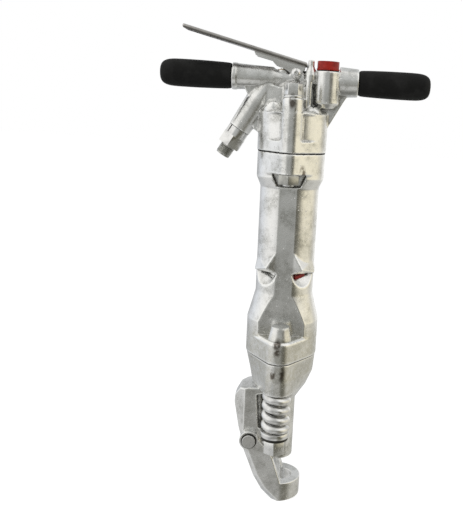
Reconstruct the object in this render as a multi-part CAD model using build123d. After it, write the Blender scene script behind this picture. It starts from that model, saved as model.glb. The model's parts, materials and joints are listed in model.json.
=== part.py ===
from build123d import *
import math
import os

# Pneumatic breaker, sizes in millimetres.
# Z runs up the tool axis from the mouth of the nose, X runs along the handle, -Y is the front.

# Fits and clearances
running_fit = 0.08
free_clearance = 0.3
rod_clearance = 0.4

# Tool shank and chuck
shank_across_flats = 32.0
shank_clearance = 0.4
shank_length = 160.0
chuck_radius = 24.0
chuck_flange_radius = 27.0
chuck_flange_height = 16.0
chuck_inset = 1.0

# Fronthead forging
nose_radius = 29.5
nose_length = 108.0
cone_height = 27.5
fronthead_low_radius = 47.0
fronthead_middle_radius = 54.5
fronthead_middle_shift = 2.5
fronthead_flange_height = 31.0
flange_inset = 1.0
spring_boss_drop = 24.5
spring_boss_radius = 24.5
spring_boss_inset = 3.0
spring_pocket_gap = 1.0
guide_spigot_radius = 36.0
guide_spigot_height = 16.0
anvil_pocket_radius = 28.0
anvil_pocket_depth = 23.0

# Retainer arm on the fronthead and latch
arm_outer_x = -75.5
arm_inner_x = -36.5
arm_inner_foot_x = -31.5
arm_depth = 61.0
arm_edge_chamfer = 19.0
arm_web_half_width = 9.0
arm_rise = 92.0
latch_pivot_x = -45.0
latch_pivot_z = 36.0
latch_pin_radius = 11.7
latch_ear_radius = 17.0
latch_leg_thickness = 12.0
latch_leg_gap = 0.5
latch_ring_top = -41.0
latch_ring_height = 33.0
latch_edge_chamfer = 9.0
latch_ring_reach = 46.0
latch_hole_reach = 31.0
latch_hole_radius = 22.0
latch_mouth_length = 8.0
pin_ring_thickness = 1.5
pin_ring_width = 1.8
pin_overhang = 3.0

# Side rods with their springs
rod_offset = 65.0
rod_radius = 10.5
rod_head_base_radius = 20.0
rod_head_top_radius = 15.0
rod_head_height = 23.0
rod_spot_face_gap = 1.0
lug_tip_radius = 23.5
lug_top_round = 3.5
rod_lug_height = 38.0
spring_wire = 13.2
spring_outer_radius = 24.2
spring_length = 67.0
spring_dead_turns = 0.5
spring_active_turns = 2.5
spring_dead_gap = 0.6
seat_washer_radius = 24.0
seat_washer_thickness = 8.5
lock_ring_radius = 22.5
lock_ring_thickness = 5.0
lock_ring_hole_radius = 1.8
rod_nut_across_flats = 34.0
rod_nut_height = 25.0
rod_end_overhang = 3.0

# Cylinder
lower_flange_radius = 60.5
lower_flange_height = 61.0
flare_height = 46.0
flare_bulge_inset = 4.0
barrel_radius = 48.5
barrel_length = 177.0
upper_taper_height = 16.0
upper_flange_radius = 55.5
upper_flange_height = 41.0
panel_depth = 46.5
bore_radius = 30.0

# Exhaust hoods on the barrel
exhaust_angle = 44.0
exhaust_level_above_barrel = 37.0
exhaust_slot_height = 8.0
exhaust_slot_half_width = 16.0
exhaust_slot_slant = 12.0
hood_inner_x = 13.5
hood_rise = 37.0
hood_side_rise = 22.0
hood_ridge_x = 30.5
hood_ridge_y = 51.0
hood_ridge_lift = 8.5
hood_outer_x = 50.5
hood_outer_y = 20.0
hood_back_y = 3.0
hood_root_radius = 34.0
scoop_radius = 40.0
scoop_centre_radius = 73.5
scoop_lift = 8.0
insert_thickness = 5.0
insert_setback = 2.0
insert_depth = 7.0
insert_start = -13.0
insert_end = 8.0

# Piston and anvil
piston_head_length = 90.0
piston_stem_radius = 19.0
piston_stem_length = 23.6
anvil_flange_radius = 27.0
anvil_flange_height = 19.5
anvil_shank_radius = 20.0
anvil_shank_height = 48.0
anvil_tip_radius = 15.5
anvil_travel = 8.0
anvil_bush_height = 30.0

# Valve chest under the backhead
chest_radius = 40.0
seat_plate_thickness = 7.0
chest_ring_height = 10.0
chest_ring_wall = 5.0
chest_cover_height = 12.0
kicker_thickness = 6.0
kicker_clearance = 0.6
chest_port_radius = 14.0

# Bolts between backhead and cylinder
bolt_offset = 58.0
bolt_radius = 9.0
bolt_across_flats = 27.0
bolt_head_height = 18.0
bolt_washer_radius = 15.5
bolt_washer_thickness = 4.0
bolt_nut_height = 15.0
bolt_nut_across_flats = 32.0
bolt_end_overhang = 3.0
rib_radius = 17.2
rib_step = 0.3
rib_height = 85.0
nut_lug_height = 33.0
nut_pocket_half_width = 28.0
nut_pocket_foot_half_width = 19.0
nut_pocket_gap = 1.0
nut_pocket_drop = 6.0

# Backhead casting
gasket_thickness = 1.2
gasket_inset = 1.0
backhead_radius = 56.5
shoulder_height = 66.0
shoulder_round = 4.0
neck_radius = 27.5
neck_dome_height = 20.5
neck_top_rise = 2.3
handle_rise = 49.0
air_chamber_depth = 12.0
side_pocket_radius = 56.2
side_pocket_bottom = 19.0
side_pocket_lip = 5.0
side_pocket_far = 46.0
dome_radius = 15.5
dome_offset_x = 32.0
dome_offset_y = 25.0
right_dome_drop = 7.0
branch_web_half_width = 13.0
neck_web_x = -62.0
neck_web_half_width = 14.0
neck_web_slant = 0.15
column_x = 23.3
column_y = -22.0
column_radius = 5.2

# Handle and grips
arm_middle_radius = 14.5
arm_middle_x = 20.0
arm_root_radius = 18.0
arm_root_x = 37.0
left_collar_radius = 21.5
collar_length = 7.0
grip_start = 102.0
grip_length = 116.5
grip_inner_radius = 20.6
grip_outer_radius = 22.0
grip_end_wall = 6.0
grip_end_round = 12.0
spigot_radius = 13.0
right_boss_radius = 24.3
right_boss_end_radius = 22.3
boss_cap_gap = 1.0
gusset_thickness = 14.0
gusset_foot_drop = 26.0

# Oil pot
pot_x = 51.8
pot_y = -14.0
pot_radius = 20.0
pot_top_rise = 15.0
pot_height = 50.0
pot_foot_height = 8.0
pot_bore_radius = 13.0
pot_floor = 8.0
cap_radius = 18.3
cap_height = 14.0
cap_plug_length = 12.0
cap_seal_thickness = 1.5

# Air inlet
inlet_lean = 31.4
inlet_seam_x = -87.75
inlet_seam_drop = 83.9
branch_radius = 18.2
branch_root_radius = 20.6
branch_wide_at = 58.0
branch_length = 98.0
branch_end_radius = 13.5
inlet_bore_radius = 10.0
inlet_nut_across_flats = 35.0
inlet_nut_length = 32.0
inlet_nut_collar_radius = 17.6
inlet_nut_collar_length = 13.0
inlet_nut_wall = 5.0
nipple_radius = 12.5
nipple_shoulder = 0.4
nipple_bore_radius = 9.0
nipple_reach = 18.3
nipple_flange_thickness = 6.0
inlet_thread_radius = 15.0
inlet_thread_length = 14.0
inlet_bore_depth = 62.0

# Throttle
lever_pivot_x = 1.6
lever_pivot_rise = 9.5
lever_pin_radius = 6.0
lever_pin_head_radius = 8.0
lever_pin_head_length = 7.5
lever_pin_hole_radius = 1.8
lever_width = 42.0
lever_sheet = 3.0
lever_flange = 6.2
lever_ear_radius = 9.0
lever_ear_face = 18.0
lever_tip_x = -182.0
lever_tip_rise = 75.6
lever_end_x = 18.5
lever_end_rise = 26.6
lever_skirt_x = -70.0
lever_skirt_foot_x = -64.5
lever_skirt_foot_rise = 33.6
lever_mid_x = -39.0
lever_mid_rise = 27.8
lever_heel_x = -32.5
lever_heel_rise = 20.9
finger_radius = 4.0
finger_half_width = 10.0
lug_half_width = 14.0
lug_radius = 9.5
post_x = 24.8
post_y = -18.0
post_foot_drop = 6.0
post_height = 31.0
post_waist_radius = 5.1
post_belly_radius = 9.5
throttle_x = -20.0
throttle_boss_radius = 14.5
throttle_bore_radius = 9.5
throttle_stem_radius = 5.0
throttle_pin_rise = 21.2
throttle_bush_rise = 14.8
throttle_bush_length = 36.0
throttle_head_radius = 7.6
throttle_head_height = 10.0
throttle_spring_length = 20.0
throttle_spring_radius = 5.6
throttle_spring_wire = 1.4
throttle_spring_turns = 6.0
throttle_port_radius = 4.0

# Levels along the tool axis
nose_top = nose_length
boss_bottom = nose_top + cone_height
lug_bottom = boss_bottom + spring_boss_drop
fronthead_top = lug_bottom + fronthead_flange_height
spring_bottom = boss_bottom - spring_length
washer_bottom = spring_bottom - seat_washer_thickness
lock_ring_bottom = washer_bottom - lock_ring_thickness
rod_nut_bottom = lock_ring_bottom - rod_nut_height
rod_bottom = rod_nut_bottom - rod_end_overhang
rod_shelf = fronthead_top + rod_lug_height
flare_bottom = fronthead_top + lower_flange_height
barrel_bottom = flare_bottom + flare_height
barrel_top = barrel_bottom + barrel_length
upper_flange_bottom = barrel_top + upper_taper_height
cylinder_top = upper_flange_bottom + upper_flange_height
backhead_bottom = cylinder_top + gasket_thickness
shoulder = backhead_bottom + shoulder_height
handle_z = shoulder + handle_rise
rib_top = backhead_bottom + rib_height
nut_seat = cylinder_top - nut_lug_height
chest_floor = cylinder_top - seat_plate_thickness - chest_ring_height - chest_cover_height
anvil_floor = fronthead_top - anvil_pocket_depth
bush_bottom = fronthead_top + guide_spigot_height + rod_clearance
bush_top = bush_bottom + anvil_bush_height
anvil_tip_bottom = shank_length - anvil_travel
anvil_top = anvil_floor + free_clearance + anvil_flange_height + anvil_shank_height
piston_bottom = anvil_top + anvil_travel + free_clearance
exhaust_level = barrel_bottom + exhaust_level_above_barrel
chuck_flange_seat = anvil_floor - chuck_flange_height
lever_pivot_z = handle_z + lever_pivot_rise
right_boss_start = pot_x + cap_radius + boss_cap_gap
arm_face = arm_depth / 2
latch_inner = arm_face + latch_leg_gap
latch_outer = latch_inner + latch_leg_thickness
sides = (-1, 1)

UPWARD = (Align.CENTER, Align.CENTER, Align.MIN)


def upright(radius, low, high, x=0.0, y=0.0):
    """Round bar standing on Z between two levels."""
    return Pos(x, y, low) * Cylinder(radius, high - low, align=UPWARD)


def tapered(low_radius, high_radius, low, high, x=0.0, y=0.0):
    """Upright cone between two levels."""
    return Pos(x, y, low) * Cone(low_radius, high_radius, high - low, align=UPWARD)


def hollow(outer, inner, low, high, x=0.0, y=0.0):
    """Upright ring or sleeve between two levels."""
    return upright(outer, low, high, x, y) - upright(inner, low, high, x, y)


def bar_x(radius, start, end, z, y=0.0):
    """Round bar along X."""
    return Pos((start + end) / 2, y, z) * Rot(0, 90, 0) * Cylinder(radius, abs(end - start))


def cone_x(start_radius, end_radius, start, end, z):
    """Cone along X from start to the larger end."""
    return Pos((start + end) / 2, 0, z) * Rot(0, 90, 0) * Cone(start_radius, end_radius, end - start)


def bar_y(radius, start, end, x, z):
    """Round bar along Y."""
    return Pos(x, (start + end) / 2, z) * Rot(90, 0, 0) * Cylinder(radius, abs(end - start))


def block(x_low, x_high, y_low, y_high, z_low, z_high):
    """Box between two corners."""
    centre = Pos((x_low + x_high) / 2, (y_low + y_high) / 2, (z_low + z_high) / 2)
    return centre * Box(x_high - x_low, y_high - y_low, z_high - z_low)


def hexagon(across_flats, low, high, x=0.0, y=0.0, turn=0.0):
    """Upright hexagonal bar."""
    outline = RegularPolygon(across_flats / 2, 6, major_radius=False)
    return Pos(x, y, low) * Rot(0, 0, turn) * extrude(outline, amount=high - low)


def turned(outline):
    """Body of revolution about Z from radius and level pairs."""
    points = [(radius, 0, level) for radius, level in outline]
    return revolve(make_face(Polyline(*points, close=True)), Axis.Z, 360)


def side_plate(outline, y_low, y_high):
    """Plate with an outline in X and Z, thick along Y."""
    points = [(x, y_low, z) for x, z in outline]
    return extrude(make_face(Polyline(*points, close=True)), amount=y_high - y_low, dir=(0, 1, 0))


def lozenge(body_radius, tip_offset, tip_radius, level, body_shift=0.0):
    """Flat outline of a round flange drawn out to a rounded lug at front and back."""
    rounds = list((Pos(body_shift, 0) * Circle(body_radius)).edges())
    for side in sides:
        rounds += list((Pos(0, side * tip_offset) * Circle(tip_radius)).edges())
    return Pos(0, 0, level) * make_hull(rounds)


def quarter_biarc(start, start_direction, end, end_direction):
    """Two tangent arcs from start to end with the given directions."""
    chord = end - start
    total = start_direction + end_direction
    a = total.dot(total) - 4
    b = -2 * chord.dot(total)
    c = chord.dot(chord)
    reach = (-b - math.sqrt(b * b - 4 * a * c)) / (2 * a)
    joint = (start + start_direction * reach + end - end_direction * reach) * 0.5
    middle = (end - end_direction * reach - start - start_direction * reach).normalized()
    return [TangentArc(start, joint, tangent=start_direction), TangentArc(joint, end, tangent=middle)]


def coil_spring(name, mean_radius, wire, bottom, length, dead_turns, active_turns, dead_gap, x=0.0, y=0.0):
    """Left-hand compression spring as one tube, with closer turns at both ends."""
    dead_pitch = wire + dead_gap
    active_pitch = (length - wire - 2 * dead_turns * dead_pitch) / active_turns
    turns = 2 * dead_turns + active_turns
    quarters = round(turns * 4)

    def level(turn):
        low = min(turn, dead_turns) * dead_pitch
        middle = min(max(turn - dead_turns, 0), active_turns) * active_pitch
        high = max(turn - dead_turns - active_turns, 0) * dead_pitch
        return bottom + wire / 2 + low + middle + high

    def point(turn):
        angle = -2 * math.pi * turn
        return Vector(x + mean_radius * math.cos(angle), y + mean_radius * math.sin(angle), level(turn))

    def direction(turn):
        angle = -2 * math.pi * turn
        before = max(turn - 0.125, 0)
        after = min(turn + 0.125, turns)
        slope = (level(after) - level(before)) / ((after - before) * 2 * math.pi)
        return Vector(mean_radius * math.sin(angle), -mean_radius * math.cos(angle), slope).normalized()

    stops = [turns * step / quarters for step in range(quarters + 1)]
    arcs = []
    for low, high in zip(stops, stops[1:]):
        arcs += quarter_biarc(point(low), direction(low), point(high), direction(high))
    section = Plane(origin=point(0), z_dir=direction(0)) * Circle(wire / 2)
    tube = sweep(section, path=Wire(arcs))

    samples_per_turn = 60
    count = round(turns * samples_per_turn)
    samples = [point(step / samples_per_turn) for step in range(count + 1)]
    nearest = min(
        (samples[i] - samples[j]).length
        for i in range(count + 1)
        for j in range(i + samples_per_turn // 2, count + 1)
    )
    print(name, "least gap to itself", round(nearest - wire, 2), "mm")
    return tube


# Fronthead, chuck and latch

def make_retainer_arm():
    arm_top = latch_pivot_z + arm_rise
    outline = [
        (latch_pivot_x + 20, latch_pivot_z - 12),
        (latch_pivot_x - 15, latch_pivot_z),
        (arm_outer_x + 9.5, latch_pivot_z + 16),
        (arm_outer_x, arm_top - 34),
        (arm_outer_x + 1, arm_top - 18),
        (arm_outer_x + 9.5, arm_top - 4),
        (arm_outer_x + 25.5, arm_top),
        (-nose_radius / 2, arm_top),
        (-nose_radius / 2, arm_top - 8),
        (arm_inner_x, arm_top - 12),
        (arm_inner_foot_x, latch_pivot_z + 20),
        (latch_pivot_x + 20, latch_pivot_z + 18),
    ]
    arm = side_plate(outline, -arm_face, arm_face)
    arm += bar_y(latch_ear_radius - 1, -arm_face, arm_face, latch_pivot_x, latch_pivot_z)
    arm += block(arm_inner_x - 1, -nose_radius / 2, -arm_web_half_width, arm_web_half_width,
                 latch_pivot_z + 20, arm_top - 10)
    chamfer_plane = (-arm_outer_x + arm_face - arm_edge_chamfer) / math.sqrt(2)
    cutter = block(chamfer_plane, chamfer_plane + arm_depth, -arm_depth, arm_depth, 0, 2 * arm_top)
    for turn in (135, 225):
        arm -= Rot(0, 0, turn) * cutter
    return arm


def make_fronthead():
    body = turned([
        (0, 0), (nose_radius, 0), (nose_radius, nose_top), (fronthead_low_radius, boss_bottom),
        (0, boss_bottom),
    ])
    boss_offset = rod_offset - spring_boss_inset
    low_section = lozenge(fronthead_low_radius, boss_offset, spring_boss_radius, boss_bottom)
    middle_section = lozenge(fronthead_middle_radius, rod_offset, lug_tip_radius, lug_bottom,
                             fronthead_middle_shift)
    top_section = lozenge(lower_flange_radius - flange_inset, rod_offset, lug_tip_radius, fronthead_top)
    body += loft([low_section, middle_section], ruled=True)
    body += loft([middle_section, top_section], ruled=True)
    body += make_retainer_arm()
    body += upright(guide_spigot_radius - running_fit, fronthead_top, fronthead_top + guide_spigot_height)
    for side in sides:
        body -= upright(rod_radius + rod_clearance, boss_bottom, fronthead_top, y=side * rod_offset)
        body -= upright(spring_outer_radius + spring_pocket_gap, nose_top, boss_bottom, y=side * rod_offset)
    body -= upright(anvil_pocket_radius, anvil_floor, fronthead_top + guide_spigot_height)
    body -= upright(chuck_flange_radius, chuck_flange_seat, anvil_floor)
    body -= upright(chuck_radius, 0, chuck_flange_seat)
    body -= bar_y(latch_pin_radius, -arm_face, arm_face, latch_pivot_x, latch_pivot_z)
    return body


def make_chuck_bushing():
    bush = upright(chuck_radius, chuck_inset, chuck_flange_seat)
    bush += upright(chuck_flange_radius, chuck_flange_seat, anvil_floor - chuck_inset)
    return bush - hexagon(shank_across_flats + shank_clearance, 0, anvil_floor)


def corner_cutter(start, end, side):
    """Slanting block that takes the outer corner off a latch leg along one edge in X and Z."""
    length = math.hypot(end[0] - start[0], end[1] - start[1])
    out_x = (end[1] - start[1]) / length
    out_z = (start[0] - end[0]) / length
    origin_x = start[0] - out_x * latch_edge_chamfer
    origin_z = start[1] - out_z * latch_edge_chamfer
    origin = (origin_x, side * latch_outer, origin_z)
    reach = 4 * latch_outer
    return Plane(origin=origin, z_dir=(out_x, side, out_z)).location * Box(reach, reach, reach, align=UPWARD)


def make_latch():
    ring_bottom = latch_ring_top - latch_ring_height
    outer_edge = [
        (latch_pivot_x - 12.5, latch_pivot_z - 12),
        (latch_pivot_x + 9.5, latch_pivot_z - 67),
        (latch_pivot_x + 24.5, latch_pivot_z - 92),
        (latch_pivot_x + 43, ring_bottom),
    ]
    leg = side_plate(outer_edge + [
        (latch_ring_reach, ring_bottom),
        (latch_ring_reach, latch_ring_top),
        (latch_pivot_x + 58, latch_ring_top),
        (latch_pivot_x + 42, latch_pivot_z - 29),
        (latch_pivot_x + 17, latch_pivot_z + 2),
    ], -latch_outer, latch_outer)
    for start, end in zip(outer_edge, outer_edge[1:]):
        for side in sides:
            leg -= corner_cutter(start, end, side)
    leg += bar_y(latch_ear_radius, -latch_outer, latch_outer, latch_pivot_x, latch_pivot_z)
    low = ring_bottom - 1
    high = latch_pivot_z + latch_ear_radius + 1
    far_left = latch_pivot_x - 2 * latch_ear_radius
    outer = upright(latch_outer, low, high, x=latch_ring_reach - latch_outer)
    outer += block(far_left, latch_ring_reach - latch_outer, -latch_outer, latch_outer, low, high)
    neck_x = latch_hole_reach - latch_hole_radius
    mouth_x = neck_x - latch_mouth_length
    inner = upright(latch_hole_radius, low, high, x=neck_x)
    inner += Pos(0, 0, low) * extrude(
        make_face(Polyline(
            (far_left, -latch_inner), (mouth_x, -latch_inner), (neck_x, -latch_hole_radius),
            (neck_x, latch_hole_radius), (mouth_x, latch_inner), (far_left, latch_inner), close=True,
        )),
        amount=high - low,
    )
    latch = (leg & outer) - inner
    hole_radius = latch_pin_radius + running_fit
    return latch - bar_y(hole_radius, -latch_outer, latch_outer, latch_pivot_x, latch_pivot_z)


def make_latch_pin():
    reach = latch_outer + free_clearance + pin_ring_thickness + pin_overhang
    return bar_y(latch_pin_radius, -reach, reach, latch_pivot_x, latch_pivot_z)


def make_latch_pin_rings():
    start = latch_outer + free_clearance
    end = start + pin_ring_thickness
    ring_radius = latch_pin_radius + pin_ring_width
    rings = []
    for side in sides:
        ring = bar_y(ring_radius, side * start, side * end, latch_pivot_x, latch_pivot_z)
        rings.append(ring - bar_y(latch_pin_radius, side * start, side * end, latch_pivot_x, latch_pivot_z))
    return rings


# Side rods

def make_side_rods():
    rods = []
    rod_top = rod_shelf + rod_head_height
    for side in sides:
        rod = upright(rod_radius, rod_bottom, rod_shelf, y=side * rod_offset)
        rod += tapered(rod_head_base_radius, rod_head_top_radius, rod_shelf, rod_top, y=side * rod_offset)
        rods.append(rod)
    return rods


def make_spring_seats():
    top = spring_bottom
    return [hollow(seat_washer_radius, rod_radius, washer_bottom, top, y=side * rod_offset) for side in sides]


def make_lock_rings():
    rings = []
    hole_offset = (lock_ring_radius + rod_radius) / 2
    for side in sides:
        ring = hollow(lock_ring_radius, rod_radius, lock_ring_bottom, washer_bottom, y=side * rod_offset)
        for x in (-hole_offset / 2, hole_offset / 2):
            hole_y = side * (rod_offset + hole_offset * math.sqrt(3) / 2)
            ring -= upright(lock_ring_hole_radius, lock_ring_bottom, washer_bottom, x, hole_y)
        rings.append(ring)
    return rings


def make_rod_nuts():
    nuts = []
    for side in sides:
        nut = hexagon(rod_nut_across_flats, rod_nut_bottom, lock_ring_bottom, y=side * rod_offset, turn=30)
        nuts.append(nut - upright(rod_radius, rod_nut_bottom, lock_ring_bottom, y=side * rod_offset))
    return nuts


def make_buffer_spring(name, side):
    mean_radius = spring_outer_radius - spring_wire / 2
    return coil_spring(name, mean_radius, spring_wire, spring_bottom, spring_length, spring_dead_turns,
                       spring_active_turns, spring_dead_gap, y=side * rod_offset)


# Cylinder and what runs in it

def exhaust_frame(side):
    """Turn that brings +X onto the outward direction of one exhaust port."""
    return Rot(0, 0, -90 + side * exhaust_angle)


def make_hood(side):
    """Gable over one exhaust slot, with a facet beside the flat panel and another round the barrel."""
    low = exhaust_level
    top = exhaust_level + hood_rise
    side_top = exhaust_level + hood_side_rise
    corners = [
        (hood_inner_x, -panel_depth, top), (hood_inner_x, -panel_depth, low),
        (hood_ridge_x, -hood_ridge_y, low + hood_ridge_lift),
        (hood_outer_x, -hood_outer_y, low), (hood_outer_x, hood_back_y, low),
        (barrel_radius - 1, hood_back_y, side_top), (barrel_radius - 3, -barrel_radius / 3, side_top),
        (hood_inner_x, -hood_root_radius, top), (hood_inner_x, -hood_root_radius, low),
        (hood_root_radius, hood_back_y, side_top), (hood_root_radius, hood_back_y, low),
    ]
    return ConvexPolyhedron([(side * x, y, z) for x, y, z in corners])


def slot_frame(side):
    """Place of one exhaust slot: +X points out of the barrel, Z zero is the hood's underside."""
    return exhaust_frame(side) * Pos(0, 0, exhaust_level) * Rot(side * exhaust_slot_slant, 0, 0)


def make_cylinder():
    flare_middle = (lower_flange_radius - flare_bulge_inset, barrel_bottom - flare_height * 0.68)
    profile = [
        Line((0, 0, fronthead_top), (lower_flange_radius, 0, fronthead_top)),
        Line((lower_flange_radius, 0, fronthead_top), (lower_flange_radius, 0, flare_bottom)),
        ThreePointArc((lower_flange_radius, 0, flare_bottom), (flare_middle[0], 0, flare_middle[1]),
                      (barrel_radius, 0, barrel_bottom)),
        Line((barrel_radius, 0, barrel_bottom), (barrel_radius, 0, barrel_top)),
        Line((barrel_radius, 0, barrel_top), (upper_flange_radius, 0, upper_flange_bottom)),
        Line((upper_flange_radius, 0, upper_flange_bottom), (upper_flange_radius, 0, cylinder_top)),
        Line((upper_flange_radius, 0, cylinder_top), (0, 0, cylinder_top)),
        Line((0, 0, cylinder_top), (0, 0, fronthead_top)),
    ]
    body = revolve(make_face(Wire(profile)), Axis.Z, 360)
    far = 2 * lower_flange_radius
    scoop = Pos(scoop_centre_radius, 0, exhaust_level + scoop_lift) * Sphere(scoop_radius)
    scoop &= block(0, far, -far, far, 0, exhaust_level + 2)
    for side in sides:
        near_y, far_y = sorted((side * panel_depth, side * far))
        body -= block(-far, far, near_y, far_y, rod_shelf, upper_flange_bottom)
        body -= exhaust_frame(side) * scoop
        body += make_hood(side)
        slot = block(bore_radius - 5, barrel_radius, -exhaust_slot_half_width, exhaust_slot_half_width,
                     -exhaust_slot_height, 0)
        body -= slot_frame(side) * slot
    round_level = rod_shelf - lug_top_round
    lugs = lozenge(lower_flange_radius, rod_offset, lug_tip_radius, fronthead_top)
    body += extrude(lugs, amount=round_level - fronthead_top)
    lug_rim = lozenge(lower_flange_radius, rod_offset, lug_tip_radius, round_level)
    brow_tip = lug_tip_radius - lug_top_round
    lug_brow = lozenge(lower_flange_radius - lug_top_round, rod_offset, brow_tip, rod_shelf)
    body += loft([lug_rim, lug_brow], ruled=True)
    upper_lugs = lozenge(upper_flange_radius, bolt_offset, rib_radius, nut_seat)
    body += extrude(upper_lugs, amount=cylinder_top - nut_seat)
    pocket_wall = bolt_offset - bolt_nut_across_flats / math.sqrt(3) - nut_pocket_gap
    pocket_low = nut_seat - bolt_nut_height - nut_pocket_drop
    for side in sides:
        low_y, high_y = sorted((side * pocket_wall, side * far))
        body -= side_plate([
            (-nut_pocket_half_width, nut_seat), (nut_pocket_half_width, nut_seat),
            (nut_pocket_foot_half_width, pocket_low), (-nut_pocket_foot_half_width, pocket_low),
        ], low_y, high_y)
        body -= upright(bolt_radius + free_clearance, nut_seat, cylinder_top, y=side * bolt_offset)
        body -= upright(rod_radius, fronthead_top, rod_shelf, y=side * rod_offset)
        body -= tapered(rod_head_base_radius + rod_spot_face_gap, rod_head_top_radius + rod_spot_face_gap,
                        rod_shelf, rod_shelf + rod_head_height, y=side * rod_offset)
    body -= upright(guide_spigot_radius, fronthead_top, bush_top)
    body -= upright(bore_radius, bush_top, chest_floor)
    body -= upright(chest_radius, chest_floor, cylinder_top)
    return body


def make_exhaust_plug():
    inner = bore_radius + insert_setback
    plug = block(inner, inner + insert_depth, insert_start, insert_end,
                 -exhaust_slot_height, insert_thickness - exhaust_slot_height)
    return slot_frame(1) * plug


def make_anvil_bushing():
    return hollow(guide_spigot_radius, anvil_shank_radius + running_fit, bush_bottom, bush_top)


def make_anvil():
    low = anvil_floor + free_clearance
    flange_top = low + anvil_flange_height
    anvil = upright(anvil_tip_radius, anvil_tip_bottom, low)
    anvil += upright(anvil_flange_radius, low, flange_top)
    return anvil + upright(anvil_shank_radius, flange_top, anvil_top)


def make_piston():
    head_low = piston_bottom + piston_stem_length
    piston = upright(piston_stem_radius, piston_bottom, head_low)
    return piston + upright(bore_radius - running_fit, head_low, head_low + piston_head_length)


def make_valve_seat():
    return hollow(chest_radius, chest_port_radius, chest_floor, chest_floor + seat_plate_thickness)


def make_chest_ring():
    low = chest_floor + seat_plate_thickness
    return hollow(chest_radius, chest_radius - chest_ring_wall, low, low + chest_ring_height)


def make_chest_cover():
    return hollow(chest_radius, chest_port_radius, cylinder_top - chest_cover_height, cylinder_top)


def make_kicker_valve():
    low = chest_floor + seat_plate_thickness + free_clearance
    return upright(chest_radius - chest_ring_wall - kicker_clearance, low, low + kicker_thickness)


# Bolts between cylinder and backhead

def make_upper_bolts():
    bolts = []
    seat = rib_top + bolt_washer_thickness
    low = nut_seat - bolt_nut_height - bolt_end_overhang
    for side in sides:
        bolt = upright(bolt_radius, low, seat, y=side * bolt_offset)
        bolts.append(bolt + hexagon(bolt_across_flats, seat, seat + bolt_head_height, y=side * bolt_offset))
    return bolts


def make_upper_washers():
    top = rib_top + bolt_washer_thickness
    return [hollow(bolt_washer_radius, bolt_radius, rib_top, top, y=side * bolt_offset) for side in sides]


def make_upper_nuts():
    nuts = []
    low = nut_seat - bolt_nut_height
    for side in sides:
        nut = hexagon(bolt_nut_across_flats, low, nut_seat, y=side * bolt_offset, turn=30)
        nuts.append(nut - upright(bolt_radius, low, nut_seat, y=side * bolt_offset))
    return nuts


def make_gasket():
    outline = lozenge(backhead_radius - gasket_inset, bolt_offset, rib_radius - gasket_inset, cylinder_top)
    gasket = extrude(outline, amount=gasket_thickness) - upright(chest_radius, cylinder_top, backhead_bottom)
    for side in sides:
        gasket -= upright(bolt_radius + free_clearance, cylinder_top, backhead_bottom, y=side * bolt_offset)
    return gasket


# Backhead, handle and oil pot

pot_top = handle_z + pot_top_rise
pot_bottom = pot_top - pot_height
throttle_bush_top = handle_z + throttle_bush_rise
throttle_seat = throttle_bush_top - throttle_bush_length
throttle_head_top = throttle_seat - free_clearance
throttle_spring_top = throttle_head_top - throttle_head_height
throttle_spring_bottom = throttle_spring_top - throttle_spring_length
throttle_pin_top = handle_z + throttle_pin_rise
inlet_seam = (inlet_seam_x, 0, handle_z - inlet_seam_drop)
inlet_down = (-math.sin(math.radians(inlet_lean)), 0, -math.cos(math.radians(inlet_lean)))
inlet_place = Plane(origin=inlet_seam, x_dir=(0, 1, 0), z_dir=inlet_down).location


def bolt_rib(side, radius, low, high):
    """Round-fronted rib that holds one long bolt."""
    y_low, y_high = sorted((side * neck_radius / 2, side * bolt_offset))
    rib = block(-radius, radius, y_low, y_high, low, high)
    return rib + upright(radius, low, high, y=side * bolt_offset)


def make_neck():
    """Round neck over the shoulder with a domed top."""
    neck_top = handle_z + neck_top_rise
    outline = [(0, shoulder - 1), (neck_radius + 6, shoulder - 1), (neck_radius, shoulder + 8)]
    steps = 6
    for step in range(steps + 1):
        angle = math.pi / 2 * step / steps
        radius = neck_radius * math.cos(angle) if step < steps else 0
        outline.append((radius, neck_top - neck_dome_height * (1 - math.sin(angle))))
    return turned(outline)


def make_backhead_body():
    round_level = shoulder - shoulder_round
    foot = lozenge(backhead_radius, bolt_offset, rib_radius, backhead_bottom)
    body = extrude(foot, amount=round_level - backhead_bottom)
    rim = lozenge(backhead_radius, bolt_offset, rib_radius, round_level)
    brow = lozenge(backhead_radius - shoulder_round, bolt_offset, rib_radius - shoulder_round, shoulder)
    body += loft([rim, brow], ruled=True)
    core = upright(side_pocket_radius, backhead_bottom, shoulder)
    for side in sides:
        y_low, y_high = sorted((side * neck_radius, side * 2 * backhead_radius))
        pocket = block(-side_pocket_far, side_pocket_far, y_low, y_high, backhead_bottom + side_pocket_bottom,
                       shoulder - side_pocket_lip)
        body -= pocket - core - bolt_rib(side, rib_radius, backhead_bottom, shoulder)
        body += bolt_rib(side, rib_radius - rib_step, shoulder - 2 * side_pocket_lip, rib_top)
        for hand in sides:
            drop = right_dome_drop if hand > 0 else 0
            body += Pos(hand * dome_offset_x, side * dome_offset_y, shoulder - drop) * Sphere(dome_radius)
    return body + make_neck()


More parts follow.
